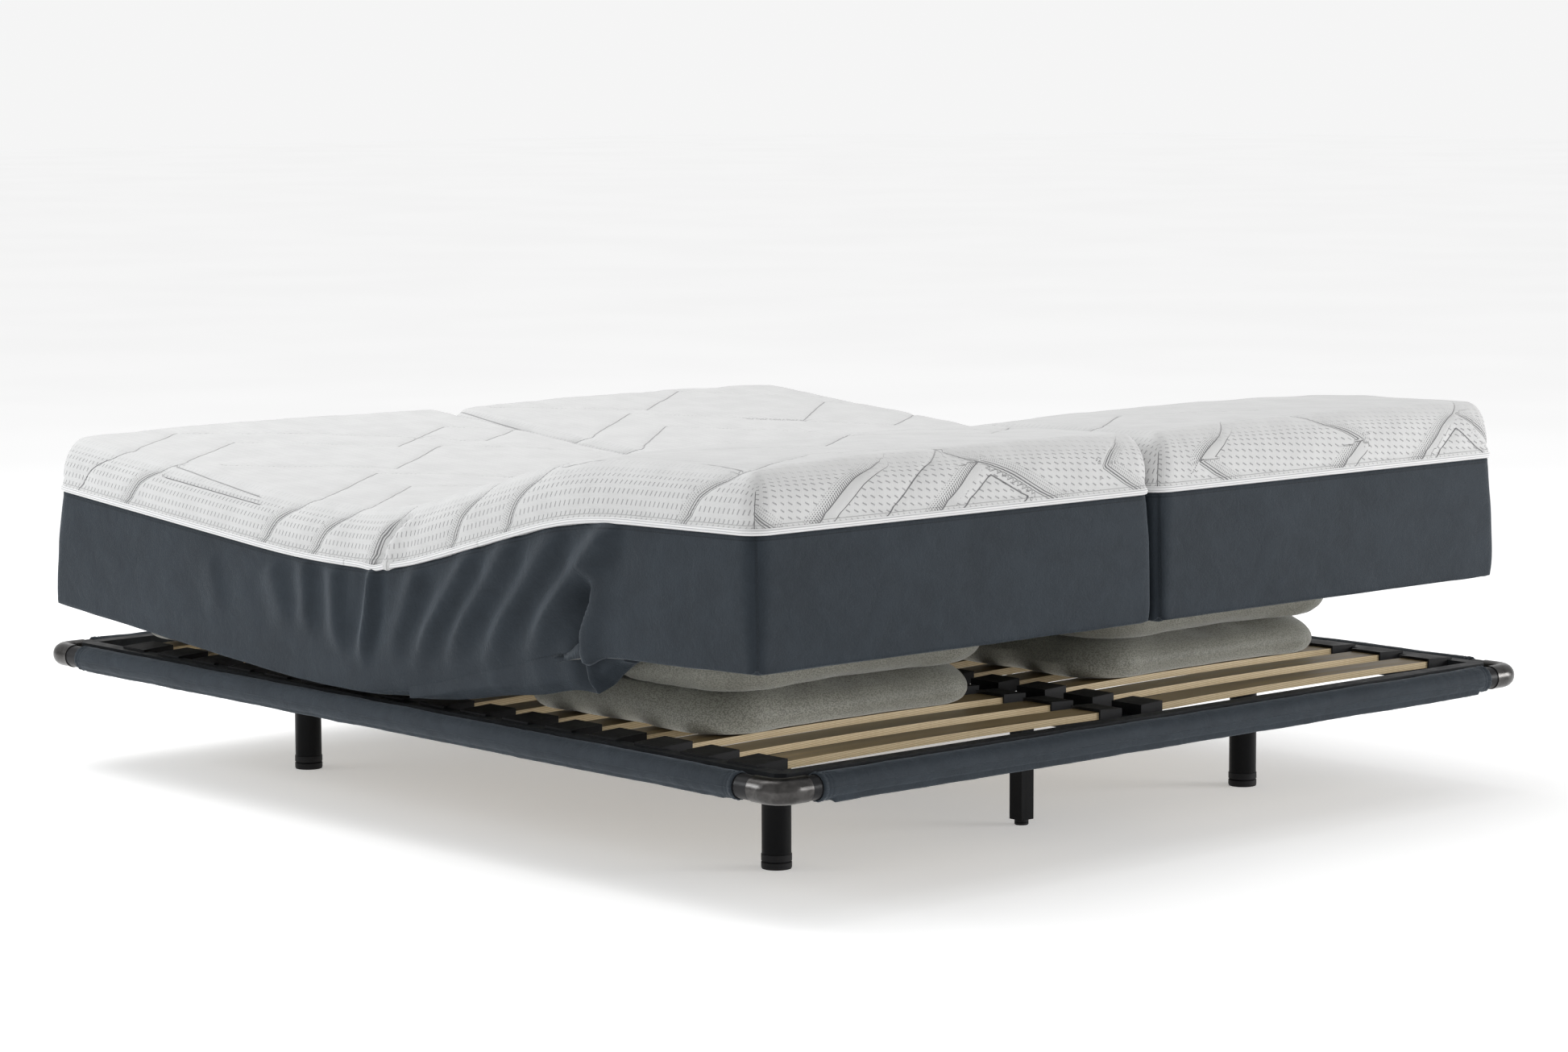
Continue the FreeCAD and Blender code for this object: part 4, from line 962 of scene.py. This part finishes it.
def velvet_push(flat, where, seed):
    """How far each point of the border stands out: the common unevenness, and the side walls' folds."""
    across, run, height = flat[:, 0], flat[:, 1], flat[:, 2]
    swell = 0.004 * np.sin(math.pi * np.clip(height / BORDER, 0, 1))
    uneven = 0.0016 * lump(where, 0.22, seed) + 0.0006 * lump(where, 0.07, seed + 1)
    push = swell + uneven - 0.0012 * bell(height - BORDER + 0.011, 0.0022)
    folds = sum(tall * ridge(flat[:, 1:], path, width) for path, width, tall in FOLDS)
    # the tuck: a finger of cloth that stands out, with a deep hollow on its head side
    past = run - np.interp(height, TUCK_HEIGHT, TUCK_RUN)
    finger = TUCK_OUT * bell(past + 0.012, np.where(past < -0.012, 0.036, 0.012))
    hollow = -TUCK_IN * bell(past - 0.019, np.where(past < 0.019, 0.013, 0.030))
    folds += (finger + hollow) * smooth_step((0.170 - height) / 0.07)
    low_pull = -0.010 * smooth_step((0.05 - height) / 0.05) * smooth_step((1.05 - run) / 0.1)
    folds += low_pull * smooth_step((run - 0.45) / 0.1)
    fade_ends = smooth_step((run - 0.06) / 0.12) * smooth_step((LENGTH - 0.06 - run) / 0.12)
    return push, folds * fade_ends * (np.abs(across) > SIDE_EDGE - 0.001)


def white_push(field, flat, where, seed):
    """Puffs between the quilting lines, grooves on them, and the hem above the piping."""
    above = flat[:, 2] - BORDER
    puff = 0.0022 * (1 - np.exp(-np.abs(field) / 0.022)) - 0.0019 * bell(field, 0.0048)
    hem = 0.0020 * bell(above - 0.013, 0.006) - 0.0022 * bell(above - 0.022, 0.003)
    uneven = 0.0011 * lump(where, 0.16, seed) + 0.0005 * lump(where, 0.05, seed + 1)
    return puff * smooth_step((above - 0.016) / 0.01) + hem + uneven


# where the cover buckles at the knee: a crease and a swelling beside it, given like the folds
CREASE = [(1.000, BORDER), (0.955, 0.285), (0.880, THICK)]
CREASES = [(CREASE, 0.012, -0.0085), ([(0.965, BORDER), (0.915, 0.29), (0.85, THICK)], 0.014, 0.0060)]


def end_gap(flat):
    """How far each point is from the nearer end."""
    return np.minimum(flat[:, 1], LENGTH - flat[:, 1])


def corner_gap(flat):
    """How far each point is from the nearest upright corner."""
    return np.hypot(np.abs(flat[:, 0]) - SIDE_EDGE, end_gap(flat))


def cut_rows(places):
    """(part, first row, last row) of a mattress's three pieces."""
    cuts = [int(np.argmin(abs(places - cut))) for cut in (CUT_THIGH, CUT_SEAT)]
    return zip(("foot", "knee", "head"), [0] + cuts, cuts + [len(places) - 1])


def build_cover(side_name, x_mid, lines, seed):
    """The white cover's three pieces, by part."""
    fine = 0.0055
    xs = spaced(-SIDE_EDGE, fine, SIDE_EDGE)
    ss = spaced(0, fine, CUT_THIGH, fine, CUT_SEAT, fine, LENGTH)
    hs = spaced(BORDER - 0.003, 0.0055, THICK)
    block = Block(xs, ss, hs, False)
    flat = block.flat
    down = THICK - flat[:, 2]
    on_side = np.abs(flat[:, 0]) > SIDE_EDGE - 1e-6
    shaped = rounded(flat, np.full(len(flat), CORNER + 0.002), BORDER - 0.003, THICK, 1e-6, 0.062)
    crown = 0.007 * (1 - (shaped[:, 0] / SIDE_EDGE) ** 2) * smooth_step((shaped[:, 2] - BORDER - 0.03) / 0.06)
    lean_in = 0.004 * smooth_step((flat[:, 2] - BORDER) / WALL)
    shaped[:, 2] += crown - 0.004
    shaped[:, 0] -= np.sign(shaped[:, 0]) * lean_in * (np.abs(shaped[:, 0]) > SIDE_EDGE - 0.06)
    # cloth coordinates of the top and side walls, and of the end walls
    across = np.where(on_side, np.sign(flat[:, 0]) * (SIDE_EDGE + down), flat[:, 0])
    top_cloth = np.column_stack([across, flat[:, 1]])
    end_cloth = np.column_stack([flat[:, 0], np.where(flat[:, 1] < LENGTH / 2, -down, LENGTH + down)])
    top_field = np.column_stack(quilt_field(top_cloth, lines))
    end_field = np.column_stack(quilt_field(end_cloth, lines))
    on_end = (end_gap(flat) < 1e-6) & ~on_side
    placed = bend(shaped)
    normals = vertex_normals(placed, block.section(0, len(ss) - 1))
    push = white_push(np.where(on_end, end_field[:, 0], top_field[:, 0]), flat, placed, seed)
    for path, width, tall in CREASES:
        push += tall * ridge(flat[:, 1:], path, width) * on_side
    push -= 0.0020 * bell(corner_gap(flat), 0.006) * smooth_step((down - 0.02) / 0.02)
    placed = placed + normals * push[:, None]
    placed[:, 0] += x_mid
    pieces = {}
    for part, low, high in cut_rows(ss):
        name = f"quilt_cover_{part}_{side_name}"
        made, corner, sheets = finish_mesh(name, placed, block.section(low, high), ["quilt_knit"])
        at_end = np.repeat((sheets == Block.FOOT) | (sheets == Block.HEAD), face_sizes(made.data))[:, None]
        field = np.where(at_end, end_field[corner], top_field[corner])
        add_uv(made.data, "cloth", np.where(at_end, end_cloth[corner], top_cloth[corner]))
        add_uv(made.data, "quilt", field[:, :2])
        # a line is drawn only where its own pattern can reach, so that none shows between two lines
        drawn = np.abs(field[:, 0]) < np.interp(field[:, 2], [1, 2, 3], [0.012, 0.024, 0.036])
        add_uv(made.data, "quilt_kind", np.column_stack([field[:, 2], drawn]))
        pieces[part] = made
    return pieces


def build_border(side_name, side, x_mid, seed):
    """The velvet border and underside in three pieces, by part."""
    rows, loose_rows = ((0.0065, 0.014))
    xs = spaced(-SIDE_EDGE, 0.008, -SIDE_EDGE + 0.04, 0.03, SIDE_EDGE - 0.04, 0.008, SIDE_EDGE)
    ss = spaced(
        0, 0.008, 0.04, rows, CUT_THIGH, rows, CUT_SEAT, rows, 1.5, loose_rows, LENGTH - 0.04, 0.008, LENGTH
    )
    hs = spaced(0, 0.0075, BORDER + 0.001)
    block = Block(xs, ss, hs, True)
    flat = block.flat
    across, height = flat[:, 0], flat[:, 2]
    edge = 0.018 + (CORNER - 0.018) * np.clip(height / BORDER, 0, 1)
    shaped = rounded(flat, edge, 0, BORDER + 0.001, 0.010, 1e-6)
    # the underside keeps clear of the slats where a section lies down on them
    shaped[:, 2] += UNDER_CLEAR * smooth_step((0.012 - height) / 0.012)
    placed = bend(shaped)
    normals = vertex_normals(placed, block.section(0, len(ss) - 1))
    push, folds = velvet_push(flat, placed, seed + 3)
    # the wall that faces the other unit stays flatter, so that the two slide past each other
    push += np.where(across * side > 0, folds, folds * 0.15)
    push = np.where(across * side < -SIDE_EDGE + 1e-6, np.clip(push, -0.002, 0.0015), push)
    under = (height < 1e-6) & (np.abs(across) < SIDE_EDGE - 0.02)
    push = np.where(under, 0.0004 * lump(placed, 0.2, seed), push)
    edge_fade = smooth_step((BORDER + 0.001 - height) / 0.02)
    push = push * np.where(height > BORDER - 0.02, 0.3 + 0.7 * edge_fade, 1)
    # the upright seams at the corners, with a small dimple at their feet
    push -= 0.0022 * bell(corner_gap(flat), 0.007)
    push -= 0.006 * bell(corner_gap(flat), 0.010) * bell(height, 0.022)
    placed = placed + normals * push[:, None]
    placed[:, 0] += x_mid
    on_side = np.abs(across) > SIDE_EDGE - 1e-6
    perimeter = np.where(on_side, flat[:, 1], across + np.where(flat[:, 1] < LENGTH / 2, -2, 4))
    wall_cloth = np.column_stack([perimeter, height])
    under_cloth = flat[:, :2] + np.array([0, LENGTH])
    from_wall = np.minimum(SIDE_EDGE - np.abs(across), end_gap(flat))
    pieces = {}
    for part, low, high in cut_rows(ss):
        name, slots = f"border_{part}_{side_name}", ["velvet", "shaded_underside_mesh"]
        made, corner, sheets = finish_mesh(name, placed, block.section(low, high), slots)
        sizes = face_sizes(made.data)
        below = np.repeat(sheets == Block.BOTTOM, sizes)[:, None]
        add_uv(made.data, "cloth", np.where(below, under_cloth[corner], wall_cloth[corner]))
        # the velvet turns in under the edge before the underside's mesh begins
        inset = np.add.reduceat(from_wall[corner], np.cumsum(sizes) - sizes) / sizes
        # the underside's faces take the darker mesh, which is painted shade
        is_mesh = (sheets == Block.BOTTOM) & (inset > VELVET_TURN)
        made.data.polygons.foreach_set("material_index", is_mesh.astype(np.int32))
        pieces[part] = made
    return pieces


PIPING_OUT = 0.0015  # how far the piping's middle stands out from the wall
PIPING_THICK, PIPING_TALL = 0.0034, 0.0056  # half the section's sizes
PIPING_SET = 0.0004  # how far its section is set in
PIPING_RING = 14
DIP_PLACE, DIP_REACH, DIP_DEPTH = 0.998, 0.03, 0.0045  # where the cover's crease pulls the piping down


def line_of(first, last, gap):
    """Places from first to last, about gap apart."""
    steps = max(2, round(math.dist(first, last) / gap))
    return [tuple(a + (b - a) * n / steps for a, b in zip(first, last)) for n in range(steps + 1)]


def corner_arc(x, s, quarter, count=9):
    """Places round a corner of the mattress, from a number of quarter turns to the next."""
    turns = [(quarter + n / count) * math.pi / 2 for n in range(1, count)]
    radius = CORNER + PIPING_OUT
    return [(x + radius * math.cos(a), s + radius * math.sin(a)) for a in turns]


def piping_runs(low, high):
    """The piping's lines in plan, round the walls of the part between low and high."""
    gap = 0.008
    half, inner = SIDE_EDGE + PIPING_OUT, SIDE_EDGE - CORNER
    start = low + CORNER if low <= 0 else low
    end = high - CORNER if high >= LENGTH else high
    left = line_of((-half, end), (-half, start), gap)
    right = line_of((half, start), (half, end), gap)
    if low <= 0:
        foot = line_of((-inner, low - PIPING_OUT), (inner, low - PIPING_OUT), 0.02)
        return [left + corner_arc(-inner, start, 2) + foot + corner_arc(inner, start, 3) + right]
    if high >= LENGTH:
        head = line_of((inner, high + PIPING_OUT), (-inner, high + PIPING_OUT), 0.02)
        return [right + corner_arc(inner, end, 0) + head + corner_arc(-inner, end, 1) + left]
    return [right, left]


def build_piping(part, side_name, x_mid, low, high):
    """The white tape along the top of the border, as a closed strip round the section's own walls."""
    turns = [2 * math.pi * n / PIPING_RING for n in range(PIPING_RING)]
    profile = [(PIPING_THICK * math.cos(a) - PIPING_SET, PIPING_TALL * math.sin(a)) for a in turns]
    points, faces, cloth = [], [], []
    for outline in piping_runs(low, high):
        path = np.array(outline)
        tangent = np.gradient(path, axis=0)
        tangent /= np.linalg.norm(tangent, axis=1)[:, None]
        steps = np.linalg.norm(np.diff(path, axis=0), axis=1)
        faces += tube_faces(len(path), PIPING_RING, len(points))
        for (x, s), (tx, ts), t in zip(path, tangent, np.concatenate([[0], np.cumsum(steps)])):
            dip = DIP_DEPTH * bell(s - DIP_PLACE, DIP_REACH)
            for out, up in profile:
                points.append((x + ts * out, s - tx * out, BORDER + 0.001 + up - dip))
                cloth.append((up, t))
    placed = bend(np.array(points))
    placed[:, 0] += x_mid
    made = mesh_object(f"piping_{part}_{side_name}", placed, faces, PAINTS["piping_white"])
    turn_outward(made)
    add_uv(made.data, "cloth", np.array(cloth)[corner_vertices(made.data)])
    return made


SEED = {"left": 11, "right": 29}


def attach_mattress(side_name, side):
    low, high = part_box(f"mattress_seat_{side_name}")
    x_mid = (low.x + high.x) / 2
    white = build_cover(side_name, x_mid, quilt_lines(side > 0), SEED[side_name])
    velvet = build_border(side_name, side, x_mid, SEED[side_name])
    spans = {"foot": (0, CUT_THIGH), "knee": (CUT_THIGH, CUT_SEAT), "head": (CUT_SEAT, LENGTH)}
    for part, (low, high) in spans.items():
        piping = build_piping(part, side_name, x_mid, low, high)
        for made in (white[part], velvet[part], piping):
            if part == "foot":
                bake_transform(made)
            elif part == "knee":
                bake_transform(made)
            else:
                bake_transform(made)
    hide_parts(f"mattress_foot_{side_name}")
    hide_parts(f"mattress_thigh_{side_name}", f"mattress_seat_{side_name}")
    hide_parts(f"mattress_head_{side_name}")
    make_drape(side_name, side, x_mid)


# ---- air cushions ----------------------------------------------------------------------------------


BAG_VOXEL, BAG_PRESSURE = 0.010, 4.0
BAG_FRAMES = 20
BAG_SPARE = 0.004  # how far outside their CAD outline the bags start


def inflate(made, voxel, pressure, cap, low, high):
    """Fills a closed bag with air by cloth simulation, by which no vertex moves more than cap. Then keeps
    it between the heights low and high, and smooths it."""
    remesh = made.modifiers.new("remesh", "REMESH")
    remesh.mode = "VOXEL"
    remesh.voxel_size = voxel
    made.data = settled_mesh(made)
    made.modifiers.clear()
    start = vertex_places(made)
    cloth = made.modifiers.new("cloth", "CLOTH")
    cloth.settings.quality = 5
    cloth.settings.mass = 0.25
    cloth.settings.tension_stiffness = 30
    cloth.settings.compression_stiffness = 30
    cloth.settings.bending_stiffness = 4.0
    cloth.settings.use_pressure = True
    cloth.settings.uniform_pressure_force = pressure
    cloth.settings.effector_weights.gravity = 0
    cloth.point_cache.frame_start = 1
    cloth.point_cache.frame_end = BAG_FRAMES
    for number in range(1, BAG_FRAMES + 1):
        scene.frame_set(number)
    settled = settled_mesh(made)
    made.modifiers.clear()
    made.data = settled
    scene.frame_set(1)
    places = vertex_places(made)
    move = places - start
    length = np.linalg.norm(move, axis=1)
    places = start + move * (np.minimum(length, cap) / np.maximum(length, 1e-9))[:, None]
    places[:, 2] = np.clip(places[:, 2], low, high)
    made.data.vertices.foreach_set("co", places.astype(np.float32).ravel())
    subdivide = made.modifiers.new("subdivide", "SUBSURF")
    subdivide.levels = subdivide.render_levels = 1
    even = made.modifiers.new("even", "SMOOTH")
    even.factor = 0.5
    even.iterations = 16
    made.data = settled_mesh(made)
    made.modifiers.clear()
    made.data.polygons.foreach_set("use_smooth", [True] * len(made.data.polygons))


def settled_mesh(made):
    bpy.context.view_layer.update()
    graph = bpy.context.evaluated_depsgraph_get()
    return bpy.data.meshes.new_from_object(made.evaluated_get(graph))


def vertex_places(made):
    places = np.empty(len(made.data.vertices) * 3)
    made.data.vertices.foreach_get("co", places)
    return places.reshape(-1, 3)


def bag(name, outline, floor_line, roof_line, radius):
    """A closed pillow over a rounded outline: floor_line and roof_line give heights along the bed."""
    low_x, high_x, low_y, high_y = outline
    across = np.linspace(-1, 1, 49)
    along = np.linspace(-1, 1, 49)
    u, v = np.meshgrid(across, along, indexing="ij")
    half_x, half_y = (high_x - low_x) / 2, (high_y - low_y) / 2
    mid_x, mid_y = (high_x + low_x) / 2, (high_y + low_y) / 2
    # pull the square's corners in to the plan radius
    x, y = u * half_x, v * half_y
    inner_x = np.clip(x, -half_x + radius, half_x - radius)
    inner_y = np.clip(y, -half_y + radius, half_y - radius)
    dx, dy = (x - inner_x) / radius, (y - inner_y) / radius
    size = np.maximum(np.hypot(dx, dy), 1e-9)
    square = np.maximum(np.abs(dx), np.abs(dy))
    x, y = inner_x + dx * radius * square / size, inner_y + dy * radius * square / size
    from_edge = np.minimum(
        np.minimum((1 - np.abs(u)) * half_x, (1 - np.abs(v)) * half_y), np.full_like(u, radius)
    )
    floor_z, roof_z = floor_line(mid_y + y), roof_line(mid_y + y)
    tall = (roof_z - floor_z) / 2
    reach = np.minimum(tall * 1.15, radius)
    share = np.clip(from_edge / reach, 0, 1)
    swell = np.sqrt(np.maximum(1 - (1 - share) ** 2, 0)) * tall
    middle = (roof_z + floor_z) / 2
    points, faces = [], []
    count = len(across)
    for sign in (1, -1):
        points += list(zip((mid_x + x).ravel(), (mid_y + y).ravel(), (middle + sign * swell).ravel()))
    for i in range(count - 1):
        for j in range(count - 1):
            a, b = i * count + j, (i + 1) * count + j
            faces.append([a, b, b + 1, a + 1])
            faces.append([corner + count * count for corner in (a, a + 1, b + 1, b)])
    made = mesh_object(name, points, faces, PAINTS["cushion_mesh"])
    turn_outward(made, weld=1e-5)
    return made


def mirrored(made, name):
    data = made.data.copy()
    places = vertex_places(made)
    places[:, 0] *= -1
    data.vertices.foreach_set("co", places.astype(np.float32).ravel())
    data.flip_normals()
    twin = bpy.data.objects.new(name, data)
    scene.collection.objects.link(twin)
    return twin


def dent(made, low, high):
    """Presses a few soft dents into the bag's skin."""
    places = vertex_places(made)
    normals = np.empty(len(made.data.vertices) * 3)
    made.data.vertices.foreach_get("normal", normals)
    normals = normals.reshape(-1, 3)
    push = 0.0010 * lump(places, 0.16, 91) + 0.00012 * lump(places, 0.03, 92)
    push *= smooth_step((high - places[:, 2]) / 0.004) * smooth_step((places[:, 2] - low) / 0.004)
    places += normals * push[:, None]
    places[:, 2] = np.clip(places[:, 2], low, high)
    made.data.vertices.foreach_set("co", places.astype(np.float32).ravel())


def make_cushions():
    lower, lower_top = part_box("foot_cushion_lower_left")
    upper, upper_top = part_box("foot_cushion_upper_left")
    head, head_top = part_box("head_cushion_left")
    tilt = math.tan(HEAD_ANGLE)
    plans = [
        (
            "foot_cushion_lower", (lower.x, lower_top.x, lower.y, lower_top.y),
            lambda y: np.full_like(y, lower.z),
            lambda y: np.minimum(
                lower.z + 0.050 + 0.021 * smooth_step((y + 0.72) / 0.24),
                lower.z + 0.036 + 0.24 * np.maximum(-0.17 - y, 0),
            ),
            0.115, 0.022, lower.z, lower_top.z,
        ),
        (
            "foot_cushion_upper", (upper.x, upper_top.x, upper.y, upper_top.y),
            lambda y: upper.z + 0.004 + 0.010 * np.abs((y - (upper.y + upper_top.y) / 2) / 0.18) ** 2,
            lambda y: np.minimum(upper_top.z, upper.z + 0.013 + 0.258 * np.maximum(upper_top.y - y, 0)),
            0.110, 0.020, upper.z, upper_top.z,
        ),
        (
            "head_cushion", (head.x, head_top.x, head.y, head_top.y), lambda y: np.full_like(y, head.z),
            lambda y: head.z + 0.0085 + tilt * (y - head.y), 0.08, 0.006, head.z, head_top.z,
        ),
    ]
    for name, (x0, x1, y0, y1), floor_line, roof_line, radius, cap, low, high in plans:
        outline = (x0 - BAG_SPARE, x1 + BAG_SPARE, y0 - BAG_SPARE, y1 + BAG_SPARE)
        made = bag(f"{name}_bag_left", outline, floor_line, roof_line, radius)
        inflate(made, BAG_VOXEL, BAG_PRESSURE, cap, low, high)
        dent(made, low, high)
        twin = mirrored(made, f"{name}_bag_right")
        for side_name, piece in (("left", made), ("right", twin)):
            if name == "head_cushion":
                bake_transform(piece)
            else:
                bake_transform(piece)
            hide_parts(f"{name}_{side_name}")


# ---- velvet sleeves on the rails -------------------------------------------------------------------


SLEEVE_BORE = 0.0204  # radius
WELT_TURN = math.radians(-58)  # where the welt lies round the tube, from straight out
WELT_TALL, SIDE_WELT = 0.0068, 0.35  # its height, and the share of that on the two side rails
SLEEVE_SEED = {"left": 40, "right": 44, "foot": 48, "head": 52}


def make_sleeve(end_name):
    """A velvet tube round a rail, hemmed at both ends, closed by a welt along its underside."""
    low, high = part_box(f"rail_sleeve_{end_name}")
    centre = (low + high) / 2
    along_y = end_name in ("left", "right")
    away = -1 if end_name in ("left", "foot") else 1
    axis = Vector((0, 1, 0)) if along_y else Vector((1, 0, 0))
    outward = Vector((away, 0, 0)) if along_y else Vector((0, away, 0))
    radius = (high.z - low.z) / 2
    length = high.y - low.y if along_y else high.x - low.x
    coarse = 0.011
    stations = spaced(
        0, 0.0022, 0.045, 0.006, 0.16, coarse, length - 0.16, 0.006, length - 0.045, 0.0022, length
    )
    around = np.linspace(0, 2 * math.pi, 61)[:-1]
    run, turn = np.meshgrid(stations, around, indexing="ij")
    flat = np.column_stack([run.ravel(), np.cos(turn).ravel() * radius, np.sin(turn).ravel() * radius])
    from_end = np.minimum(run, length - run)
    seed = SLEEVE_SEED[end_name]
    gather = 0.0006 * np.sin(turn * 17 + 3 * np.sin(run * 40)) * np.exp(-from_end / 0.035)
    slack = 0.0007 * lump(flat * np.array([1, 2.4, 2.4]), 0.16, seed).reshape(run.shape)
    slack += 0.00035 * lump(flat * np.array([1, 1.5, 1.5]), 0.03, seed + 1).reshape(run.shape)
    hem = 0.0007 * bell(from_end - 0.0045, 0.0035) - 0.0011 * bell(from_end - 0.0115, 0.0018)
    hem -= 0.0009 * bell(from_end - 0.0180, 0.0016)
    off = (turn - WELT_TURN + math.pi) % (2 * math.pi) - math.pi
    welt = WELT_TALL * np.exp(-((off / 0.085) ** 4)) * smooth_step((from_end - 0.02) / 0.01)
    if along_y:
        welt *= SIDE_WELT
    stitch = -0.0007 * bell(off - 0.26, 0.05)
    rolled = -0.0012 * smooth_step((0.002 - from_end) / 0.002)
    skin = radius - 0.0009 + gather + slack + hem + welt + stitch + rolled
    skin = np.minimum(skin, radius + 0.0065)
    count = len(around)
    inside = np.full(count, SLEEVE_BORE)
    mouth = inside + 0.0004
    rings = [(0.03, inside), (0.0, mouth), *zip(stations, skin), (length, mouth), (length - 0.03, inside)]
    points, cloth = [], []
    for s, radii in rings:
        for a, r in zip(around, radii):
            from_axis = outward * (math.cos(a) * r) + Vector((0, 0, math.sin(a) * r))
            points.append(centre + axis * (s - length / 2) + from_axis)
            cloth.append((s, a * radius))
    faces = tube_faces(len(rings), count, closed=False)
    made = mesh_object(f"sleeve_{end_name}", points, faces, PAINTS["sleeve_velvet"])
    turn_outward(made)
    add_uv(made.data, "cloth", np.array(cloth)[corner_vertices(made.data)])
    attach(made, "base")
    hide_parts(f"rail_sleeve_{end_name}")


# ---- velvet that hangs below the thigh section -----------------------------------------------------


# along the bed: the slack velvet's foot end, its deepest place at the tuck, and its head end
DRAPE_FOOT, DRAPE_TUCK, DRAPE_HEAD = 0.352, 0.448, 0.935
DRAPE_DEPTH = 0.052
DRAPE_TOP = 0.022  # how high up the wall it starts
DRAPE_IN = 0.085  # how far it reaches in under the mattress
DRAPE_PULL = 0.004  # how far its outer face is pulled in at the lower end
TURN_TALL, TURN_WIDE = 0.016, 0.022  # the turn round its lowest line
DRAPE_RING = 22
FACE_SHARE, TURN_SHARE = 0.40, 0.62  # where the outer face and the turn end, as shares of a ring


def drape_ring(s):
    """(inset from the wall, height) all round the slack velvet, at one place along the bed."""
    share = min((DRAPE_HEAD - s) / (DRAPE_HEAD - DRAPE_TUCK), 1.0)
    # past the tuck it runs out, set back from the wall
    runs_out = min(max((DRAPE_TUCK - s) / (DRAPE_TUCK - DRAPE_FOOT), 0.0), 1.0)
    depth = DRAPE_DEPTH * share ** 0.85 * (1 + 0.05 * math.sin(s * 33)) * (1 - 0.90 * runs_out)
    straight = max(depth - TURN_TALL, 0.0)
    back = 0.0004 + 0.018 * min(runs_out / 0.25, 1.0)
    turned = back + DRAPE_PULL + TURN_WIDE
    ring = []
    for n in range(DRAPE_RING):
        t = n / (DRAPE_RING - 1)
        if t < FACE_SHARE:
            drop = t / FACE_SHARE
            inset = back + DRAPE_PULL * share * drop ** 3
            height = DRAPE_TOP - drop * (DRAPE_TOP + straight)
        elif t < TURN_SHARE:
            turn = math.sin((t - FACE_SHARE) / (TURN_SHARE - FACE_SHARE) * math.pi / 2)
            inset = back + DRAPE_PULL * share + TURN_WIDE * turn
            height = -straight - min(depth, TURN_TALL) * turn
        else:
            up = (t - TURN_SHARE) / (1 - TURN_SHARE)
            inset = turned + (DRAPE_IN - turned) * up
            height = -depth + (depth + 0.004) * float(smooth_step(up))
        ring.append((inset, height))
    return ring


def make_drape(side_name, side, x_mid):
    """Slack velvet along the outer lower edge, from the seat to the tuck, hanging in a shallow bag."""
    stations = np.linspace(DRAPE_FOOT, DRAPE_HEAD, 98)
    points, cloth = [], []
    for s in stations:
        for inset, height in drape_ring(s):
            points.append((side * (SIDE_EDGE - inset), s, height))
            cloth.append((s, height - inset))
    flat = np.array(points)
    # it takes up the border's folds next to the wall
    at_wall = flat.copy()
    at_wall[:, 0] = side * SIDE_EDGE
    at_wall[:, 2] = np.maximum(flat[:, 2], DRAPE_TOP)
    push, folds = velvet_push(at_wall, bend(at_wall), SEED[side_name] + 3)
    near_wall = smooth_step((np.abs(flat[:, 0]) - SIDE_EDGE + 0.03) / 0.028)
    flat[:, 0] += side * (push + folds) * near_wall
    placed = bend(flat)
    placed[:, 0] += x_mid
    faces = tube_faces(len(stations), DRAPE_RING)
    made = mesh_object(f"border_drape_{side_name}", placed, faces, PAINTS["velvet"])
    turn_outward(made, lambda edge: any(len(face.verts) > 4 for face in edge.link_faces))
    add_uv(made.data, "cloth", np.array(cloth)[corner_vertices(made.data)])
    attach(made, f"thigh_section_{side_name}")
    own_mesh(made)


# ---- scene -----------------------------------------------------------------------------------------

make_camera()
make_studio()
paint_nodes()
for side_name, side in (("left", -1), ("right", 1)):
    attach_mattress(side_name, side)
make_cushions()
for end_name in ("left", "right", "foot", "head"):
    make_sleeve(end_name)

floor = mesh_object(
    "floor", [(-40, -40, 0), (40, -40, 0), (40, 40, 0), (-40, 40, 0)], [[0, 1, 2, 3]], floor_paint(), False
)
